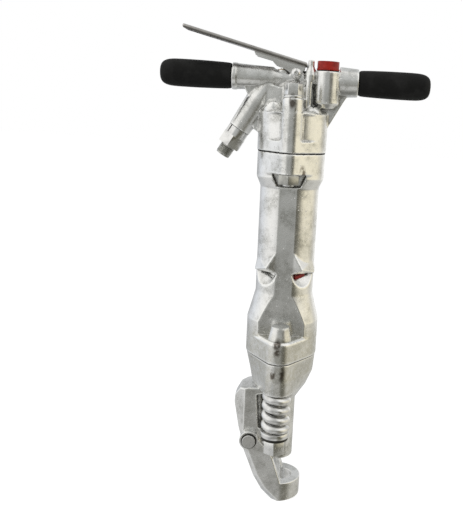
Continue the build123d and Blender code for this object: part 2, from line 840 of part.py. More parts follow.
def make_handle_arms():
    arms = bar_x(arm_middle_radius, -arm_middle_x, right_boss_start, handle_z)
    arms += cone_x(arm_root_radius, arm_middle_radius, -arm_root_x, -arm_middle_x, handle_z)
    taper_end = grip_start - collar_length
    arms += cone_x(left_collar_radius - 1, arm_root_radius, -taper_end, -arm_root_x, handle_z)
    arms += bar_x(left_collar_radius, -grip_start, -taper_end, handle_z)
    arms += cone_x(right_boss_radius, right_boss_end_radius, right_boss_start, grip_start, handle_z)
    spigot_end = grip_start + grip_length - grip_end_wall
    for side in sides:
        arms += bar_x(spigot_radius, side * grip_start, side * spigot_end, handle_z)
    inner_x = neck_radius / 2
    foot_z = shoulder - gusset_foot_drop
    arms += side_plate([
        (inner_x, handle_z), (right_boss_start + 16, handle_z), (right_boss_start + 16, handle_z - 20),
        (right_boss_start + 9, handle_z - 31), (backhead_radius - 0.5, foot_z), (inner_x, foot_z),
    ], -gusset_thickness / 2, gusset_thickness / 2)
    return arms


def make_neck_web():
    """Web between the inlet branch and the neck, wider towards the neck."""
    outline = [
        (neck_web_x, shoulder + 8), (-44, shoulder - 12), (throttle_x, shoulder), (throttle_x, handle_z - 14),
        (-46, handle_z - 8),
    ]
    corners = []
    for x, z in outline:
        half_width = neck_web_half_width + neck_web_slant * (x - neck_web_x)
        corners += [(x, -half_width, z), (x, half_width, z)]
    return ConvexPolyhedron(corners)


def make_backhead():
    body = make_backhead_body() + make_handle_arms()
    body += upright(pot_radius, pot_bottom, pot_top, pot_x, pot_y)
    body += tapered(pot_radius * 0.6, pot_radius, pot_bottom - pot_foot_height, pot_bottom, pot_x, pot_y)
    body += upright(column_radius, shoulder - 2, handle_z, column_x, column_y)
    body += inlet_place * tapered(branch_root_radius, branch_radius, -branch_wide_at, 0)
    body += inlet_place * tapered(branch_end_radius, branch_root_radius, -branch_length, -branch_wide_at)
    body += inlet_place * upright(inlet_thread_radius, 0, inlet_thread_length)
    body += side_plate([
        (-83, handle_z - 14), (-77.5, handle_z - 24), (-66, shoulder), (-64, shoulder - 33),
        (-56, shoulder - 38), (-38, shoulder - 38), (throttle_x, shoulder), (throttle_x, handle_z - 8),
    ], -branch_web_half_width, branch_web_half_width)
    body += make_neck_web()
    body += upright(throttle_boss_radius, shoulder - 4, handle_z, throttle_x)
    body += upright(throttle_boss_radius - 2, handle_z, throttle_bush_top - 0.5, throttle_x)
    body += block(lever_pivot_x - lug_radius, lever_pivot_x + lug_radius, -lug_half_width, lug_half_width,
                  handle_z - 10, lever_pivot_z)
    body += bar_y(lug_radius, -lug_half_width, lug_half_width, lever_pivot_x, lever_pivot_z)
    post_foot = handle_z - post_foot_drop
    post_top = handle_z + post_height
    post = turned([
        (0, post_foot), (post_belly_radius - 3, post_foot), (post_belly_radius - 0.3, post_foot + 6),
        (post_belly_radius, post_foot + 14), (post_belly_radius - 1.7, post_foot + 21),
        (post_waist_radius, post_foot + 27), (post_waist_radius, post_top), (0, post_top),
    ])
    body += Pos(post_x, post_y, 0) * post
    body -= upright(pot_bore_radius, pot_bottom + pot_floor, pot_top, pot_x, pot_y)
    body -= upright(chest_radius, backhead_bottom, backhead_bottom + air_chamber_depth)
    body -= upright(throttle_bore_radius, throttle_spring_bottom, throttle_bush_top, throttle_x)
    body -= upright(throttle_boss_radius, throttle_bush_top - 0.5, throttle_bush_top + 10, throttle_x)
    body -= upright(throttle_port_radius, backhead_bottom, throttle_spring_bottom, throttle_x)
    body -= inlet_place * upright(inlet_bore_radius, -inlet_bore_depth, inlet_thread_length)
    passage_z = throttle_spring_bottom + throttle_spring_length / 2
    passage_x = inlet_seam_x + (passage_z - inlet_seam[2]) * math.tan(math.radians(inlet_lean))
    body -= bar_x(throttle_port_radius, passage_x, throttle_x, passage_z)
    pin_reach = lever_ear_face
    body -= bar_y(lever_pin_radius, -pin_reach, pin_reach, lever_pivot_x, lever_pivot_z)
    for side in sides:
        body -= upright(bolt_radius + free_clearance, backhead_bottom, rib_top, y=side * bolt_offset)
    return body


def make_grip(side):
    end = grip_start + grip_length
    outline = [
        (grip_start, spigot_radius), (grip_start, grip_inner_radius),
        (end - 1.6 * grip_end_round, grip_outer_radius),
        (end - 0.7 * grip_end_round, grip_outer_radius - 0.2 * grip_end_round),
        (end - 0.25 * grip_end_round, grip_outer_radius - 0.5 * grip_end_round),
        (end, grip_outer_radius - grip_end_round), (end, 0),
        (end - grip_end_wall, 0), (end - grip_end_wall, spigot_radius),
    ]
    face = make_face(Polyline(*[(side * x, 0, radius) for x, radius in outline], close=True))
    return Pos(0, 0, handle_z) * revolve(face, Axis.X, 360)


def make_oil_cap():
    low = pot_top + cap_seal_thickness
    cap = upright(cap_radius, low, low + cap_height, pot_x, pot_y)
    return cap + upright(pot_bore_radius, low - cap_plug_length, low, pot_x, pot_y)


def make_oil_cap_seal():
    return hollow(cap_radius - 1, pot_bore_radius, pot_top, pot_top + cap_seal_thickness, pot_x, pot_y)


# Air inlet

def make_inlet_nut():
    nut = upright(inlet_nut_collar_radius, 0, inlet_nut_collar_length)
    nut += hexagon(inlet_nut_across_flats, inlet_nut_collar_length, inlet_nut_length)
    nut -= upright(inlet_thread_radius, 0, inlet_nut_length - inlet_nut_wall)
    hole_radius = nipple_radius + nipple_shoulder + running_fit
    return inlet_place * (nut - upright(hole_radius, 0, inlet_nut_length))


def make_inlet_nipple():
    flange_end = inlet_nut_length - inlet_nut_wall - free_clearance
    nipple = upright(inlet_thread_radius - free_clearance, flange_end - nipple_flange_thickness, flange_end)
    journal_end = inlet_nut_length + free_clearance
    nipple += upright(nipple_radius + nipple_shoulder, flange_end, journal_end)
    nipple += upright(nipple_radius, journal_end, inlet_nut_length + nipple_reach)
    nipple -= upright(nipple_bore_radius, 0, inlet_nut_length + nipple_reach)
    return inlet_place * nipple


def make_inlet_seal():
    end = inlet_nut_length - inlet_nut_wall - nipple_flange_thickness - 2 * free_clearance
    return inlet_place * hollow(inlet_thread_radius, inlet_bore_radius, inlet_thread_length, end)


# Throttle

def make_lever():
    tip = (lever_tip_x, handle_z + lever_tip_rise)
    end = (lever_end_x, handle_z + lever_end_rise)
    fall = (tip[1] - end[1]) / (end[0] - tip[0])

    def below(x, depth):
        """Point at x on the line that lies a depth under the lever's top face."""
        return x, end[1] + (end[0] - x) * fall - depth * math.hypot(1, fall)

    half = lever_width / 2
    start = lever_tip_x + lever_sheet
    beyond = lever_end_x + lever_width
    deep = 10 * lever_flange

    def hollow_between(half_width):
        ceiling = [below(start, lever_sheet), below(beyond, lever_sheet)]
        floor = [below(beyond, deep), below(start, deep)]
        return side_plate(ceiling + floor, -half_width, half_width)

    flange_edge = [below(lever_end_x, lever_flange), below(lever_tip_x, lever_flange)]
    strip = side_plate([tip, end] + flange_edge, -half, half)
    strip -= hollow_between(half - lever_sheet)
    skirt = side_plate([
        below(lever_skirt_x, lever_sheet / 2), below(lever_end_x - 2.5, lever_sheet / 2),
        (lever_end_x - 5, lever_pivot_z + 5.7), (lever_pivot_x + lever_ear_radius, lever_pivot_z),
        (lever_pivot_x - lever_ear_radius, lever_pivot_z), (throttle_x - 2.5, lever_pivot_z + 8),
        (lever_heel_x, handle_z + lever_heel_rise), (lever_mid_x, handle_z + lever_mid_rise),
        (lever_skirt_foot_x, handle_z + lever_skirt_foot_rise),
    ], -lever_ear_face, lever_ear_face)
    skirt += bar_y(lever_ear_radius, -lever_ear_face, lever_ear_face, lever_pivot_x, lever_pivot_z)
    skirt -= hollow_between(lever_ear_face - lever_sheet)
    contact_z = throttle_pin_top + free_clearance + finger_radius
    finger = bar_y(finger_radius, -finger_half_width, finger_half_width, throttle_x, contact_z)
    finger += side_plate([
        below(lever_mid_x - 8, lever_sheet / 2), below(lever_mid_x - 1, lever_sheet / 2),
        (throttle_x + 2.5, contact_z + 3), (throttle_x - 2, contact_z - 2.5),
    ], -finger_half_width, finger_half_width)
    lever = strip + skirt + finger
    pin_hole = lever_pin_radius + running_fit
    return lever - bar_y(pin_hole, -lever_ear_face, lever_ear_face, lever_pivot_x, lever_pivot_z)


def make_lever_pin():
    face = lever_ear_face + free_clearance
    back_end = face + pin_ring_thickness + pin_overhang
    pin = bar_y(lever_pin_radius, -face, back_end, lever_pivot_x, lever_pivot_z)
    straight = lever_pin_head_length / 2
    pin += bar_y(lever_pin_head_radius, -face - straight, -face, lever_pivot_x, lever_pivot_z)
    dome = Cone(lever_pin_head_radius, lever_pin_head_radius / 2, straight, align=UPWARD)
    pin += Pos(lever_pivot_x, -face - straight, lever_pivot_z) * Rot(90, 0, 0) * dome
    head_face = -face - lever_pin_head_length
    return pin - bar_y(lever_pin_hole_radius, head_face, head_face + straight, lever_pivot_x, lever_pivot_z)


def make_lever_pin_ring():
    start = lever_ear_face + free_clearance
    end = start + pin_ring_thickness
    ring = bar_y(lever_pin_radius + pin_ring_width, start, end, lever_pivot_x, lever_pivot_z)
    return ring - bar_y(lever_pin_radius, start, end, lever_pivot_x, lever_pivot_z)


def make_throttle_bushing():
    bore = throttle_stem_radius + running_fit
    return hollow(throttle_bore_radius, bore, throttle_seat, throttle_bush_top, throttle_x)


def make_throttle_valve():
    valve = upright(throttle_head_radius, throttle_spring_top, throttle_head_top, throttle_x)
    return valve + upright(throttle_stem_radius, throttle_head_top, throttle_pin_top, throttle_x)


def make_throttle_spring():
    return coil_spring("throttle_spring", throttle_spring_radius, throttle_spring_wire,
                       throttle_spring_bottom, throttle_spring_length, 0.5, throttle_spring_turns - 1, 0.8,
                       x=throttle_x)


nodes = {
    "backhead": make_backhead(),
    "left_grip": make_grip(-1),
    "right_grip": make_grip(1),
    "oil_cap": make_oil_cap(),
    "oil_cap_seal": make_oil_cap_seal(),
    "inlet_nut": make_inlet_nut(),
    "inlet_nipple": make_inlet_nipple(),
    "inlet_seal": make_inlet_seal(),
    "throttle_lever": make_lever(),
    "lever_pin": make_lever_pin(),
    "lever_pin_ring": make_lever_pin_ring(),
    "throttle_bushing": make_throttle_bushing(),
    "throttle_valve": make_throttle_valve(),
    "throttle_spring": make_throttle_spring(),
    "upper_bolts": make_upper_bolts(),
    "upper_washers": make_upper_washers(),
    "upper_nuts": make_upper_nuts(),
    "backhead_gasket": make_gasket(),
    "valve_seat": make_valve_seat(),
    "valve_chest_ring": make_chest_ring(),
    "valve_chest_cover": make_chest_cover(),
    "kicker_valve": make_kicker_valve(),
    "cylinder": make_cylinder(),
    "exhaust_plug": make_exhaust_plug(),
    "piston": make_piston(),
    "anvil": make_anvil(),
    "anvil_bushing": make_anvil_bushing(),
    "side_rods": make_side_rods(),
    "spring_seats": make_spring_seats(),
    "rod_lock_rings": make_lock_rings(),
    "rod_nuts": make_rod_nuts(),
    "front_buffer_spring": make_buffer_spring("front_buffer_spring", -1),
    "rear_buffer_spring": make_buffer_spring("rear_buffer_spring", 1),
    "fronthead": make_fronthead(),
    "chuck_bushing": make_chuck_bushing(),
    "latch": make_latch(),
    "latch_pin": make_latch_pin(),
    "latch_pin_rings": make_latch_pin_rings(),
}

os.makedirs("parts", exist_ok=True)
for name, shape in nodes.items():
    solids = Compound(children=list(shape)) if isinstance(shape, list) else shape
    export_step(solids, f"parts/{name}.step")
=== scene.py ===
"""Looks of a hand-held pneumatic rock drill, laid out as a Blender add-on.

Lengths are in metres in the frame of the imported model. Z runs up the tool axis from the mouth of the
nose, X runs along the handle with the throttle lever over -X, and -Y faces the viewer.
"""

import json
import math

import bmesh
import bpy
import numpy as np
from bpy.props import FloatProperty, FloatVectorProperty, IntProperty, PointerProperty
from mathutils import Matrix, Vector


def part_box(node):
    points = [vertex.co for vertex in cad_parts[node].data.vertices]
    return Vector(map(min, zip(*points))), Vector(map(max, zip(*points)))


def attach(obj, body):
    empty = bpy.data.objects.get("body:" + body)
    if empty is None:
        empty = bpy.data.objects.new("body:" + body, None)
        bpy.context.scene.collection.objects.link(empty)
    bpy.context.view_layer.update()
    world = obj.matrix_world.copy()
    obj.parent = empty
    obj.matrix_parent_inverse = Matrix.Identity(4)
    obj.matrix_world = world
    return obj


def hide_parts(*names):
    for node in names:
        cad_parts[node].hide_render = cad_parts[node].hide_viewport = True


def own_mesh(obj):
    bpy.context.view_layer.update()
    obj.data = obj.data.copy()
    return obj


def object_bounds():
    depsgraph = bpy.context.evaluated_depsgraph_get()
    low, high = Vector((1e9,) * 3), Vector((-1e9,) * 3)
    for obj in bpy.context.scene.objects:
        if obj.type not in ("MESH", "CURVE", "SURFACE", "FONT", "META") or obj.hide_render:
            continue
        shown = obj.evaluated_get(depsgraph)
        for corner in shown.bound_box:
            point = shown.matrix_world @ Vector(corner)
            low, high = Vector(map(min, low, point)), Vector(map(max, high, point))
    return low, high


bl_info = {
    "name": "Pneumatic rock drill",
    "version": (1, 0, 0),
    "blender": (4, 5, 0),
    "location": "3D View > Sidebar > Drill",
    "description": "Softened castings, springs, grips and surface finishes of a pneumatic rock drill",
    "category": "Object",
}

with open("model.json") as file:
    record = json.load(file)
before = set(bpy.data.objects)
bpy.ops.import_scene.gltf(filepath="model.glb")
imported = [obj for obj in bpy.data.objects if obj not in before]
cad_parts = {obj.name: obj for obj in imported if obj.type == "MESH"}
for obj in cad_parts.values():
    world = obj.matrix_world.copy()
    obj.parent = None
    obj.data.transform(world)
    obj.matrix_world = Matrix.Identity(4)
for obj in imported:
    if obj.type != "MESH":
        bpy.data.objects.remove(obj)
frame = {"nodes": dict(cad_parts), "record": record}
cad_low, cad_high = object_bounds()

body_of_node = {
    node: body for body, nodes in frame["record"]["behaviour"]["bodies"].items() for node in nodes
}

UP = Vector((0, 0, 1))
MERGE_GAP = 1e-6
SAME_LEVEL = 2e-5
FLAT_ANGLE = math.radians(0.1)
EDGE_ANGLE = math.radians(28)
LATHE_STEPS = 96
FINISH_PREFIX = "finish_"
# Stains run further down than across, and each has a place and a reach in metres.
RUN_DOWN = (1, 1, 0.45)
STAINS = {
    "under the front bolt's head": ((0.000, -0.073, 0.6130), 0.0065),
    "on the neck": ((0.002, -0.030, 0.6490), 0.013),
    "beside the front upper nut": ((0.021, -0.060, 0.4955), 0.010),
    "under the flange, right of the front rod": ((0.008, -0.092, 0.1760), 0.009),
    "under the flange, left of the front rod": ((-0.009, -0.090, 0.1747), 0.007),
    "on the front rod's lug": ((-0.003, -0.090, 0.2230), 0.010),
}


# Settings

def length_setting(name, description, default):
    return FloatProperty(
        name=name, description=description, default=default, min=0.0, unit="LENGTH", precision=4
    )


def colour_setting(name, description, default):
    return FloatVectorProperty(
        name=name, description=description, default=default, size=3, min=0.0, max=1.0, subtype="COLOR"
    )


def number_setting(name, description, default, unit="NONE"):
    return FloatProperty(name=name, description=description, default=default, unit=unit)


def place_setting(name, description, default):
    return FloatVectorProperty(name=name, description=description, default=default, size=3, subtype="XYZ")


def angle_setting(name, description, degrees):
    return FloatProperty(name=name, description=description, default=math.radians(degrees), subtype="ANGLE")


class DrillSizes(bpy.types.PropertyGroup):
    """Sizes of what is modelled here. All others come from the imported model."""

    backhead_skin: length_setting("Backhead skin", "Spacing of the backhead's surface points", 0.0013)
    cylinder_skin: length_setting("Cylinder skin", "Spacing of the cylinder's surface points", 0.0014)
    fronthead_skin: length_setting("Fronthead skin", "Spacing of the fronthead's surface points", 0.0012)
    latch_skin: length_setting("Latch skin", "Spacing of the latch's surface points", 0.0009)
    casting_passes: IntProperty(
        name="Casting passes", description="How often the castings' corners are eased", default=3, min=0
    )
    casting_triangles: IntProperty(
        name="Casting triangles", description="Most triangles on one casting", default=170000, min=1000
    )
    edge_round: length_setting("Edge round", "Width of the rounded edges on steel pieces", 0.0008)
    lever_round: length_setting("Lever round", "Width of the rolled edges of the throttle lever", 0.0028)
    lever_flange: length_setting("Lever flange", "Depth of the throttle lever's flange", 0.0062)
    spring_wire: length_setting("Spring wire", "Wire diameter of the buffer springs", 0.0132)
    spring_closed_gap: length_setting("Closed gap", "Gap between the end turns of a buffer spring", 0.0006)
    throttle_wire: length_setting("Throttle wire", "Wire diameter of the throttle spring", 0.0014)
    throttle_closed_gap: length_setting("Throttle gap", "Gap between the throttle spring's end turns", 0.0003)
    grip_lip: length_setting("Grip lip", "Rounding of a grip's inner end", 0.003)
    cap_rim: length_setting("Cap rim", "Height of the narrow rim at the foot of the oil cap", 0.0026)
    cap_step: length_setting("Cap step", "How far the rim stands out from the oil cap", 0.0008)
    cap_dish: length_setting("Cap dish", "Depth of the dish in the top of the oil cap", 0.0012)
    seam_half: length_setting("Seam", "Half the width of a dark seam line", 0.0013)
    seam_core: length_setting("Seam core", "Half the width of a seam line's darkest part", 0.0004)
    collar_reach: length_setting("Collar reach", "How far the seam of the hose nut reaches", 0.026)
    film_reach: length_setting("Film reach", "How far oil spreads from the lower flange", 0.060)
    film_full: length_setting("Full film", "How far the oil film keeps its full strength", 0.034)
    thread_pitch: length_setting("Thread pitch", "Pitch of the thread on the hose nipple", 0.0026)
    thread_depth: length_setting("Thread depth", "Depth of the thread on the hose nipple", 0.0011)


class DrillColours(bpy.types.PropertyGroup):
    """Colours of the drill's surfaces."""

    silver: colour_setting("Silver", "Clean faces of the castings", (0.88, 0.88, 0.87))
    silver_worn: colour_setting("Worn silver", "Rubbed edges of the castings", (0.95, 0.95, 0.93))
    silver_dull: colour_setting("Dull silver", "Cloudy patches on the castings", (0.54, 0.54, 0.515))
    oil_film: colour_setting("Oil film", "Thin oil round the lower flange", (0.58, 0.565, 0.49))
    # Grime, used also as the painted shade in the hollows and along the lever's flange.
    grime_and_shade: colour_setting("Grime", "Oil and dust in the hollows", (0.075, 0.068, 0.05))
    rust: colour_setting("Rust", "Rust and oil in the stains", (0.085, 0.062, 0.04))
    steel: colour_setting("Steel", "Turned and plated steel", (0.86, 0.86, 0.85))
    black_steel: colour_setting("Black steel", "Oily black rings", (0.07, 0.068, 0.062))
    spring_plate: colour_setting("Spring plating", "Bright plated wire", (0.86, 0.86, 0.85))
    lever_steel: colour_setting("Lever steel", "Pressed steel of the throttle lever", (0.55, 0.53, 0.51))
    # Darker oily steel; on the upper nuts it is also painted shade for their pockets.
    oily_and_shaded_steel: colour_setting("Oily steel", "Upper nuts and hose nipple", (0.50, 0.50, 0.47))
    bronze: colour_setting("Bronze", "Bearing bronze", (0.62, 0.43, 0.20))
    rubber: colour_setting("Rubber", "Black rubber of the grips", (0.0125, 0.0125, 0.012))
    seal: colour_setting("Seal", "Black seals and gasket", (0.009, 0.008, 0.0075))
    red: colour_setting("Red", "Red plastic of the oil cap", (0.45, 0.020, 0.009))
    # Red plastic darkened for oil and as painted shade inside the exhaust port.
    oily_and_shaded_red: colour_setting("Deep red", "Oily red plastic of the exhaust insert", (0.30, 0.013, 0.010))


class DrillStage(bpy.types.PropertyGroup):
    """Camera, floor and light."""

    camera_place: place_setting("Camera", "Where the camera stands", (0.04525, -1.25, 0.600))
    camera_tilt: angle_setting("Tilt", "How far the camera looks down", 11.5)
    camera_roll: angle_setting("Roll", "How far the picture leans", 3.55)
    camera_lens: number_setting("Lens", "Focal length in millimetres", 51.135)
    camera_shift: number_setting("Shift", "Sideways shift of the picture", -0.1525)
    floor_gap: length_setting("Floor gap", "Room between the latch and the floor", 0.0005)
    floor_colour: colour_setting("Floor", "Pale floor", (0.80, 0.80, 0.80))
    floor_size: length_setting("Floor size", "Half the width of the floor", 12.0)
    floor_glow: number_setting("Floor glow", "How pale the camera sees the floor", 0.68)
    key_place: place_setting("Key lamp", "Where the key lamp hangs", (-1.3, -1.0, 1.7))
    key_size: length_setting("Key size", "Side of the key lamp", 1.2)
    key_power: number_setting("Key power", "Watts of the key lamp", 10, "POWER")
    fill_place: place_setting("Fill lamp", "Where the fill lamp hangs", (1.4, -0.6, 1.0))
    fill_size: length_setting("Fill size", "Side of the fill lamp", 1.0)
    fill_power: number_setting("Fill power", "Watts of the fill lamp", 3, "POWER")
    plain_level: number_setting("Plain level", "Even light from all sides", 0.42)
    backdrop: colour_setting("Backdrop", "Pale backdrop seen in the metal", (1.0, 0.99, 0.965))
    cool_wall: colour_setting("Cool wall", "Bluish wall at the far left", (0.80, 0.83, 0.88))
    room_grey: colour_setting("Room", "Dim room in front, seen in the metal", (0.36, 0.365, 0.35))
    dark_corner: colour_setting("Dark corner", "Dark corner at the front right", (0.10, 0.095, 0.07))
    warm_wall: colour_setting("Warm wall", "Warm wall on the right", (0.95, 0.88, 0.69))
    pale_corner: colour_setting("Pale corner", "Pale corner at the back right", (0.62, 0.60, 0.54))
    dim_ceiling: colour_setting("Dim ceiling", "Ceiling at the back", (0.60, 0.61, 0.61))
    front_ceiling: colour_setting("Front ceiling", "Ceiling in front", (0.50, 0.51, 0.50))
    grey_corner: colour_setting("Grey corner", "Grey corner at the back left", (0.52, 0.53, 0.55))
    pale_floor: colour_setting("Pale floor", "Floor at the left and the back", (0.50, 0.51, 0.52))
    left_floor: colour_setting("Left floor", "Bright floor at the left", (0.64, 0.64, 0.635))
    warm_floor: colour_setting("Warm floor", "Floor at the right", (0.58, 0.57, 0.53))
    soft_corner: colour_setting("Soft corner", "Shade near the drill's foot", (0.23, 0.225, 0.195))
    dim_floor: colour_setting("Dim floor", "Floor in front", (0.25, 0.245, 0.225))
    sheet: colour_setting("Sheet", "Pale sheet on the floor in front", (0.60, 0.60, 0.585))
    shade: colour_setting("Shade", "Shade under the drill", (0.19, 0.19, 0.18))


# Shaping

def merged_copy(node):
    """The shape of a node with its loose triangles joined up."""
    shape = bmesh.new()
    shape.from_mesh(frame["nodes"][node].data)
    bmesh.ops.remove_doubles(shape, verts=shape.verts, dist=MERGE_GAP)
    return shape


def sharp_edges(shape, least_angle=EDGE_ANGLE):
    return [edge for edge in shape.edges if edge.is_manifold and edge.calc_face_angle() > least_angle]


def round_edges(shape, width, edges=None, segments=2):
    """Rounds the given edges, or every sharp edge."""
    bmesh.ops.bevel(
        shape, geom=sharp_edges(shape) if edges is None else edges, offset=width, offset_type="OFFSET",
        affect="EDGES", segments=segments, profile=0.5, material=-1, clamp_overlap=True,
    )


def side_rims(shape):
    """The sharp edges round the two outer side faces of a shape."""
    reach = max(abs(point.co.y) for point in shape.verts)
    return [
        edge for edge in sharp_edges(shape)
        if all(reach - abs(point.co.y) < SAME_LEVEL for point in edge.verts)
    ]


def flat_copy(node):
    """A node's shape with its flat faces made whole."""
    shape = merged_copy(node)
    bmesh.ops.dissolve_limit(
        shape, angle_limit=FLAT_ANGLE, use_dissolve_boundaries=False, verts=shape.verts, edges=shape.edges,
        delimit=set(),
    )
    return shape


def crisp_copy(node, edge_width):
    """A node's shape with flat faces made whole and its edges rounded."""
    shape = flat_copy(node)
    round_edges(shape, edge_width)
    return shape


def lathe(outline, centre, axis, steps=LATHE_STEPS):
    """Spins an outline of (distance along the axis, radius) points about the axis."""
    axis = Vector(axis).normalized()
    side = axis.orthogonal().normalized()
    shape = bmesh.new()
    points = [shape.verts.new(centre + axis * along + side * radius) for along, radius in outline]
    edges = [shape.edges.new(pair) for pair in zip(points, points[1:])]
    bmesh.ops.spin(
        shape, geom=points + edges, cent=centre, axis=axis, angle=2 * math.pi, steps=steps, use_merge=True
    )
    bmesh.ops.remove_doubles(shape, verts=shape.verts, dist=MERGE_GAP)
    bmesh.ops.recalc_face_normals(shape, faces=shape.faces)
    return shape


def coil(centre, radius, wire, low, high, closed_turns, open_turns, closed_gap, steps=56, sides=20):
    """A left-hand spring wound as one tube, with closed end turns ground flat."""
    shape = bmesh.new()
    closed_pitch = wire + closed_gap
    seat = wire * 0.35
    rise = high - low - 2 * seat - 2 * closed_turns * closed_pitch
    open_pitch = rise / open_turns
    slope = math.atan2(open_pitch, 2 * math.pi * radius)
    turn = Matrix.Rotation(math.pi / 2 - slope, 4, "X")
    place = Matrix.Translation((centre.x + radius, centre.y, low + seat))
    section = bmesh.ops.create_circle(
        shape, segments=sides, radius=wire / 2, cap_ends=True, matrix=place @ turn
    )
    loop = list({edge for point in section["verts"] for edge in point.link_edges})
    ends = (closed_turns, closed_pitch)
    for turns, pitch in (ends, (open_turns, open_pitch), ends):
        count = round(turns * steps)
        swept = bmesh.ops.spin(
            shape, geom=loop, cent=(centre.x, centre.y, 0), axis=UP, angle=-2 * math.pi * turns,
            dvec=(0, 0, pitch * turns / count), steps=count,
        )
        loop = [item for item in swept["geom_last"] if isinstance(item, bmesh.types.BMEdge)]
    bmesh.ops.edgeloop_fill(shape, edges=loop)
    for level, outward in ((low, -UP), (high, UP)):
        flat_end(shape, Vector((0, 0, level)), outward)
    bmesh.ops.recalc_face_normals(shape, faces=shape.faces)
    return shape


def flat_end(shape, point, outward):
    """Cuts a shape off flat at a plane and closes the cut."""
    everything = shape.verts[:] + shape.edges[:] + shape.faces[:]
    bmesh.ops.bisect_plane(shape, geom=everything, plane_co=point, plane_no=outward, clear_outer=True)
    rim = [edge for edge in shape.edges if edge.is_boundary]
    bmesh.ops.holes_fill(shape, edges=rim, sides=0)


def distance_from_axis(point, centre, axis):
    offset = point - centre
    return (offset - axis * offset.dot(axis)).length


def slim_shaft(shape, centre, axis, depth):
    """Thins the free end of a shaft and gives its first and last level and its first radius."""
    end = max((point.co - centre).dot(axis) for point in shape.verts)
    tip = [point for point in shape.verts if end - (point.co - centre).dot(axis) < MERGE_GAP]
    radius = max(distance_from_axis(point.co, centre, axis) for point in tip)
    skin = [
        point for point in shape.verts
        if abs(distance_from_axis(point.co, centre, axis) - radius) < SAME_LEVEL
    ]
    start = min((point.co - centre).dot(axis) for point in skin)
    for point in skin:
        along = (point.co - centre).dot(axis)
        foot = centre + axis * along
        point.co = foot + (point.co - foot) * (1 - depth / radius)
    return start, end, radius


def wind_thread(shape, centre, axis, low, high, root, crest, pitch, steps=48):
    """Winds a pointed ridge round a shaft, from low to high along its axis."""
    side = axis.orthogonal().normalized()
    half = pitch * 0.48
    corners = ((low, root), (low + half, crest), (low + 2 * half, root))
    points = [shape.verts.new(centre + axis * along + side * out) for along, out in corners]
    loop = list(shape.faces.new(points).edges)
    turns = (high - low) / pitch - 1
    count = round(turns * steps)
    swept = bmesh.ops.spin(
        shape, geom=loop, cent=centre, axis=axis, angle=2 * math.pi * turns,
        dvec=axis * (pitch * turns / count), steps=count,
    )
    last = [item for item in swept["geom_last"] if isinstance(item, bmesh.types.BMEdge)]
    bmesh.ops.edgeloop_fill(shape, edges=last)
    bmesh.ops.recalc_face_normals(shape, faces=shape.faces)


def soften(piece, skin, passes):
    """Gives a casting an even skin and eases its corners."""
    even = piece.modifiers.new("even_skin", "REMESH")
    even.mode = "VOXEL"
    even.voxel_size = skin
    eased = piece.modifiers.new("eased_corners", "SMOOTH")
    eased.factor = 0.5
    eased.iterations = passes
    settle(piece)


def settle(piece):
    """Makes a piece's modifiers part of its mesh."""
    graph = bpy.context.evaluated_depsgraph_get()
    finished = bpy.data.meshes.new_from_object(piece.evaluated_get(graph))
    piece.modifiers.clear()
    rough = piece.data
    piece.data = finished
    bpy.data.meshes.remove(rough)


def thin_flats(piece, most):
    """Drops points from the flat parts of a piece until it has no more than the given triangles."""
    piece.data.calc_loop_triangles()
    lean = piece.modifiers.new("lean_flats", "DECIMATE")
    lean.ratio = min(1.0, most / len(piece.data.loop_triangles))
    settle(piece)


def keep_relief(mesh, reach=14):
    """Stores on each point how deep it lies in a hollow, in millimetres, with ridges below zero."""
    count = len(mesh.vertices)
    points = np.empty(count * 3)
    mesh.vertices.foreach_get("co", points)
    points = points.reshape(-1, 3)
    normals = np.empty(count * 3)
    mesh.vertices.foreach_get("normal", normals)
    normals = normals.reshape(-1, 3)
    ends = np.empty(len(mesh.edges) * 2, dtype=np.int64)
    mesh.edges.foreach_get("vertices", ends)
    first, second = ends.reshape(-1, 2).T
    neighbours = np.bincount(first, minlength=count) + np.bincount(second, minlength=count)
    neighbours = np.maximum(neighbours, 1)
    around = points.copy()
    for _ in range(reach):
        for axis in range(3):
            here = around[:, axis]
            total = np.bincount(first, here[second], count) + np.bincount(second, here[first], count)
            around[:, axis] = 0.5 * here + 0.5 * total / neighbours
    depth = ((around - points) * normals).sum(axis=1) * 1000
    relief = mesh.attributes.new("relief", "FLOAT", "POINT")
    relief.data.foreach_set("value", depth.astype(np.float32))


def add_piece(name, shape, material, nodes, body=None):
    """Makes an object of a shape, gives it its finish and lets it stand for the nodes that it replaces."""
    mesh = bpy.data.meshes.new(name)
    shape.to_mesh(mesh)
    shape.free()
    piece = bpy.data.objects.new(name, mesh)
    bpy.context.scene.collection.objects.link(piece)
    mesh.materials.append(material)
    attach(piece, body or body_of_node[nodes[0]])
    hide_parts(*nodes)
    return piece


def shade(piece, sharp_angle=EDGE_ANGLE):
    """Smooth shading with creases kept at sharp edges."""
    piece.data.shade_smooth()
    piece.data.set_sharp_from_angle(angle=sharp_angle)


def refinish(node, material):
    """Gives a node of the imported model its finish, with its shape as it is."""
    for slot in frame["nodes"][node].material_slots:
        slot.material = material


# Finishes

def start_finish(name, metallic, roughness):
    material = bpy.data.materials.new(FINISH_PREFIX + name)
    material.use_nodes = True
    tree = material.node_tree
    tree.nodes.clear()
    shader = tree.nodes.new("ShaderNodeBsdfPrincipled")
    surface = tree.nodes.new("ShaderNodeOutputMaterial")
    tree.links.new(shader.outputs["BSDF"], surface.inputs["Surface"])
    shader.inputs["Metallic"].default_value = metallic
    shader.inputs["Roughness"].default_value = roughness
    return material, tree, shader


def feed(tree, target, value):
    """Joins a socket to an input, or sets the input to a plain value."""
    if isinstance(value, bpy.types.NodeSocket):
        tree.links.new(value, target)
    elif hasattr(value, "__len__") and len(target.default_value) == 4:
        target.default_value = (*value, 1.0)
    else:
        target.default_value = value


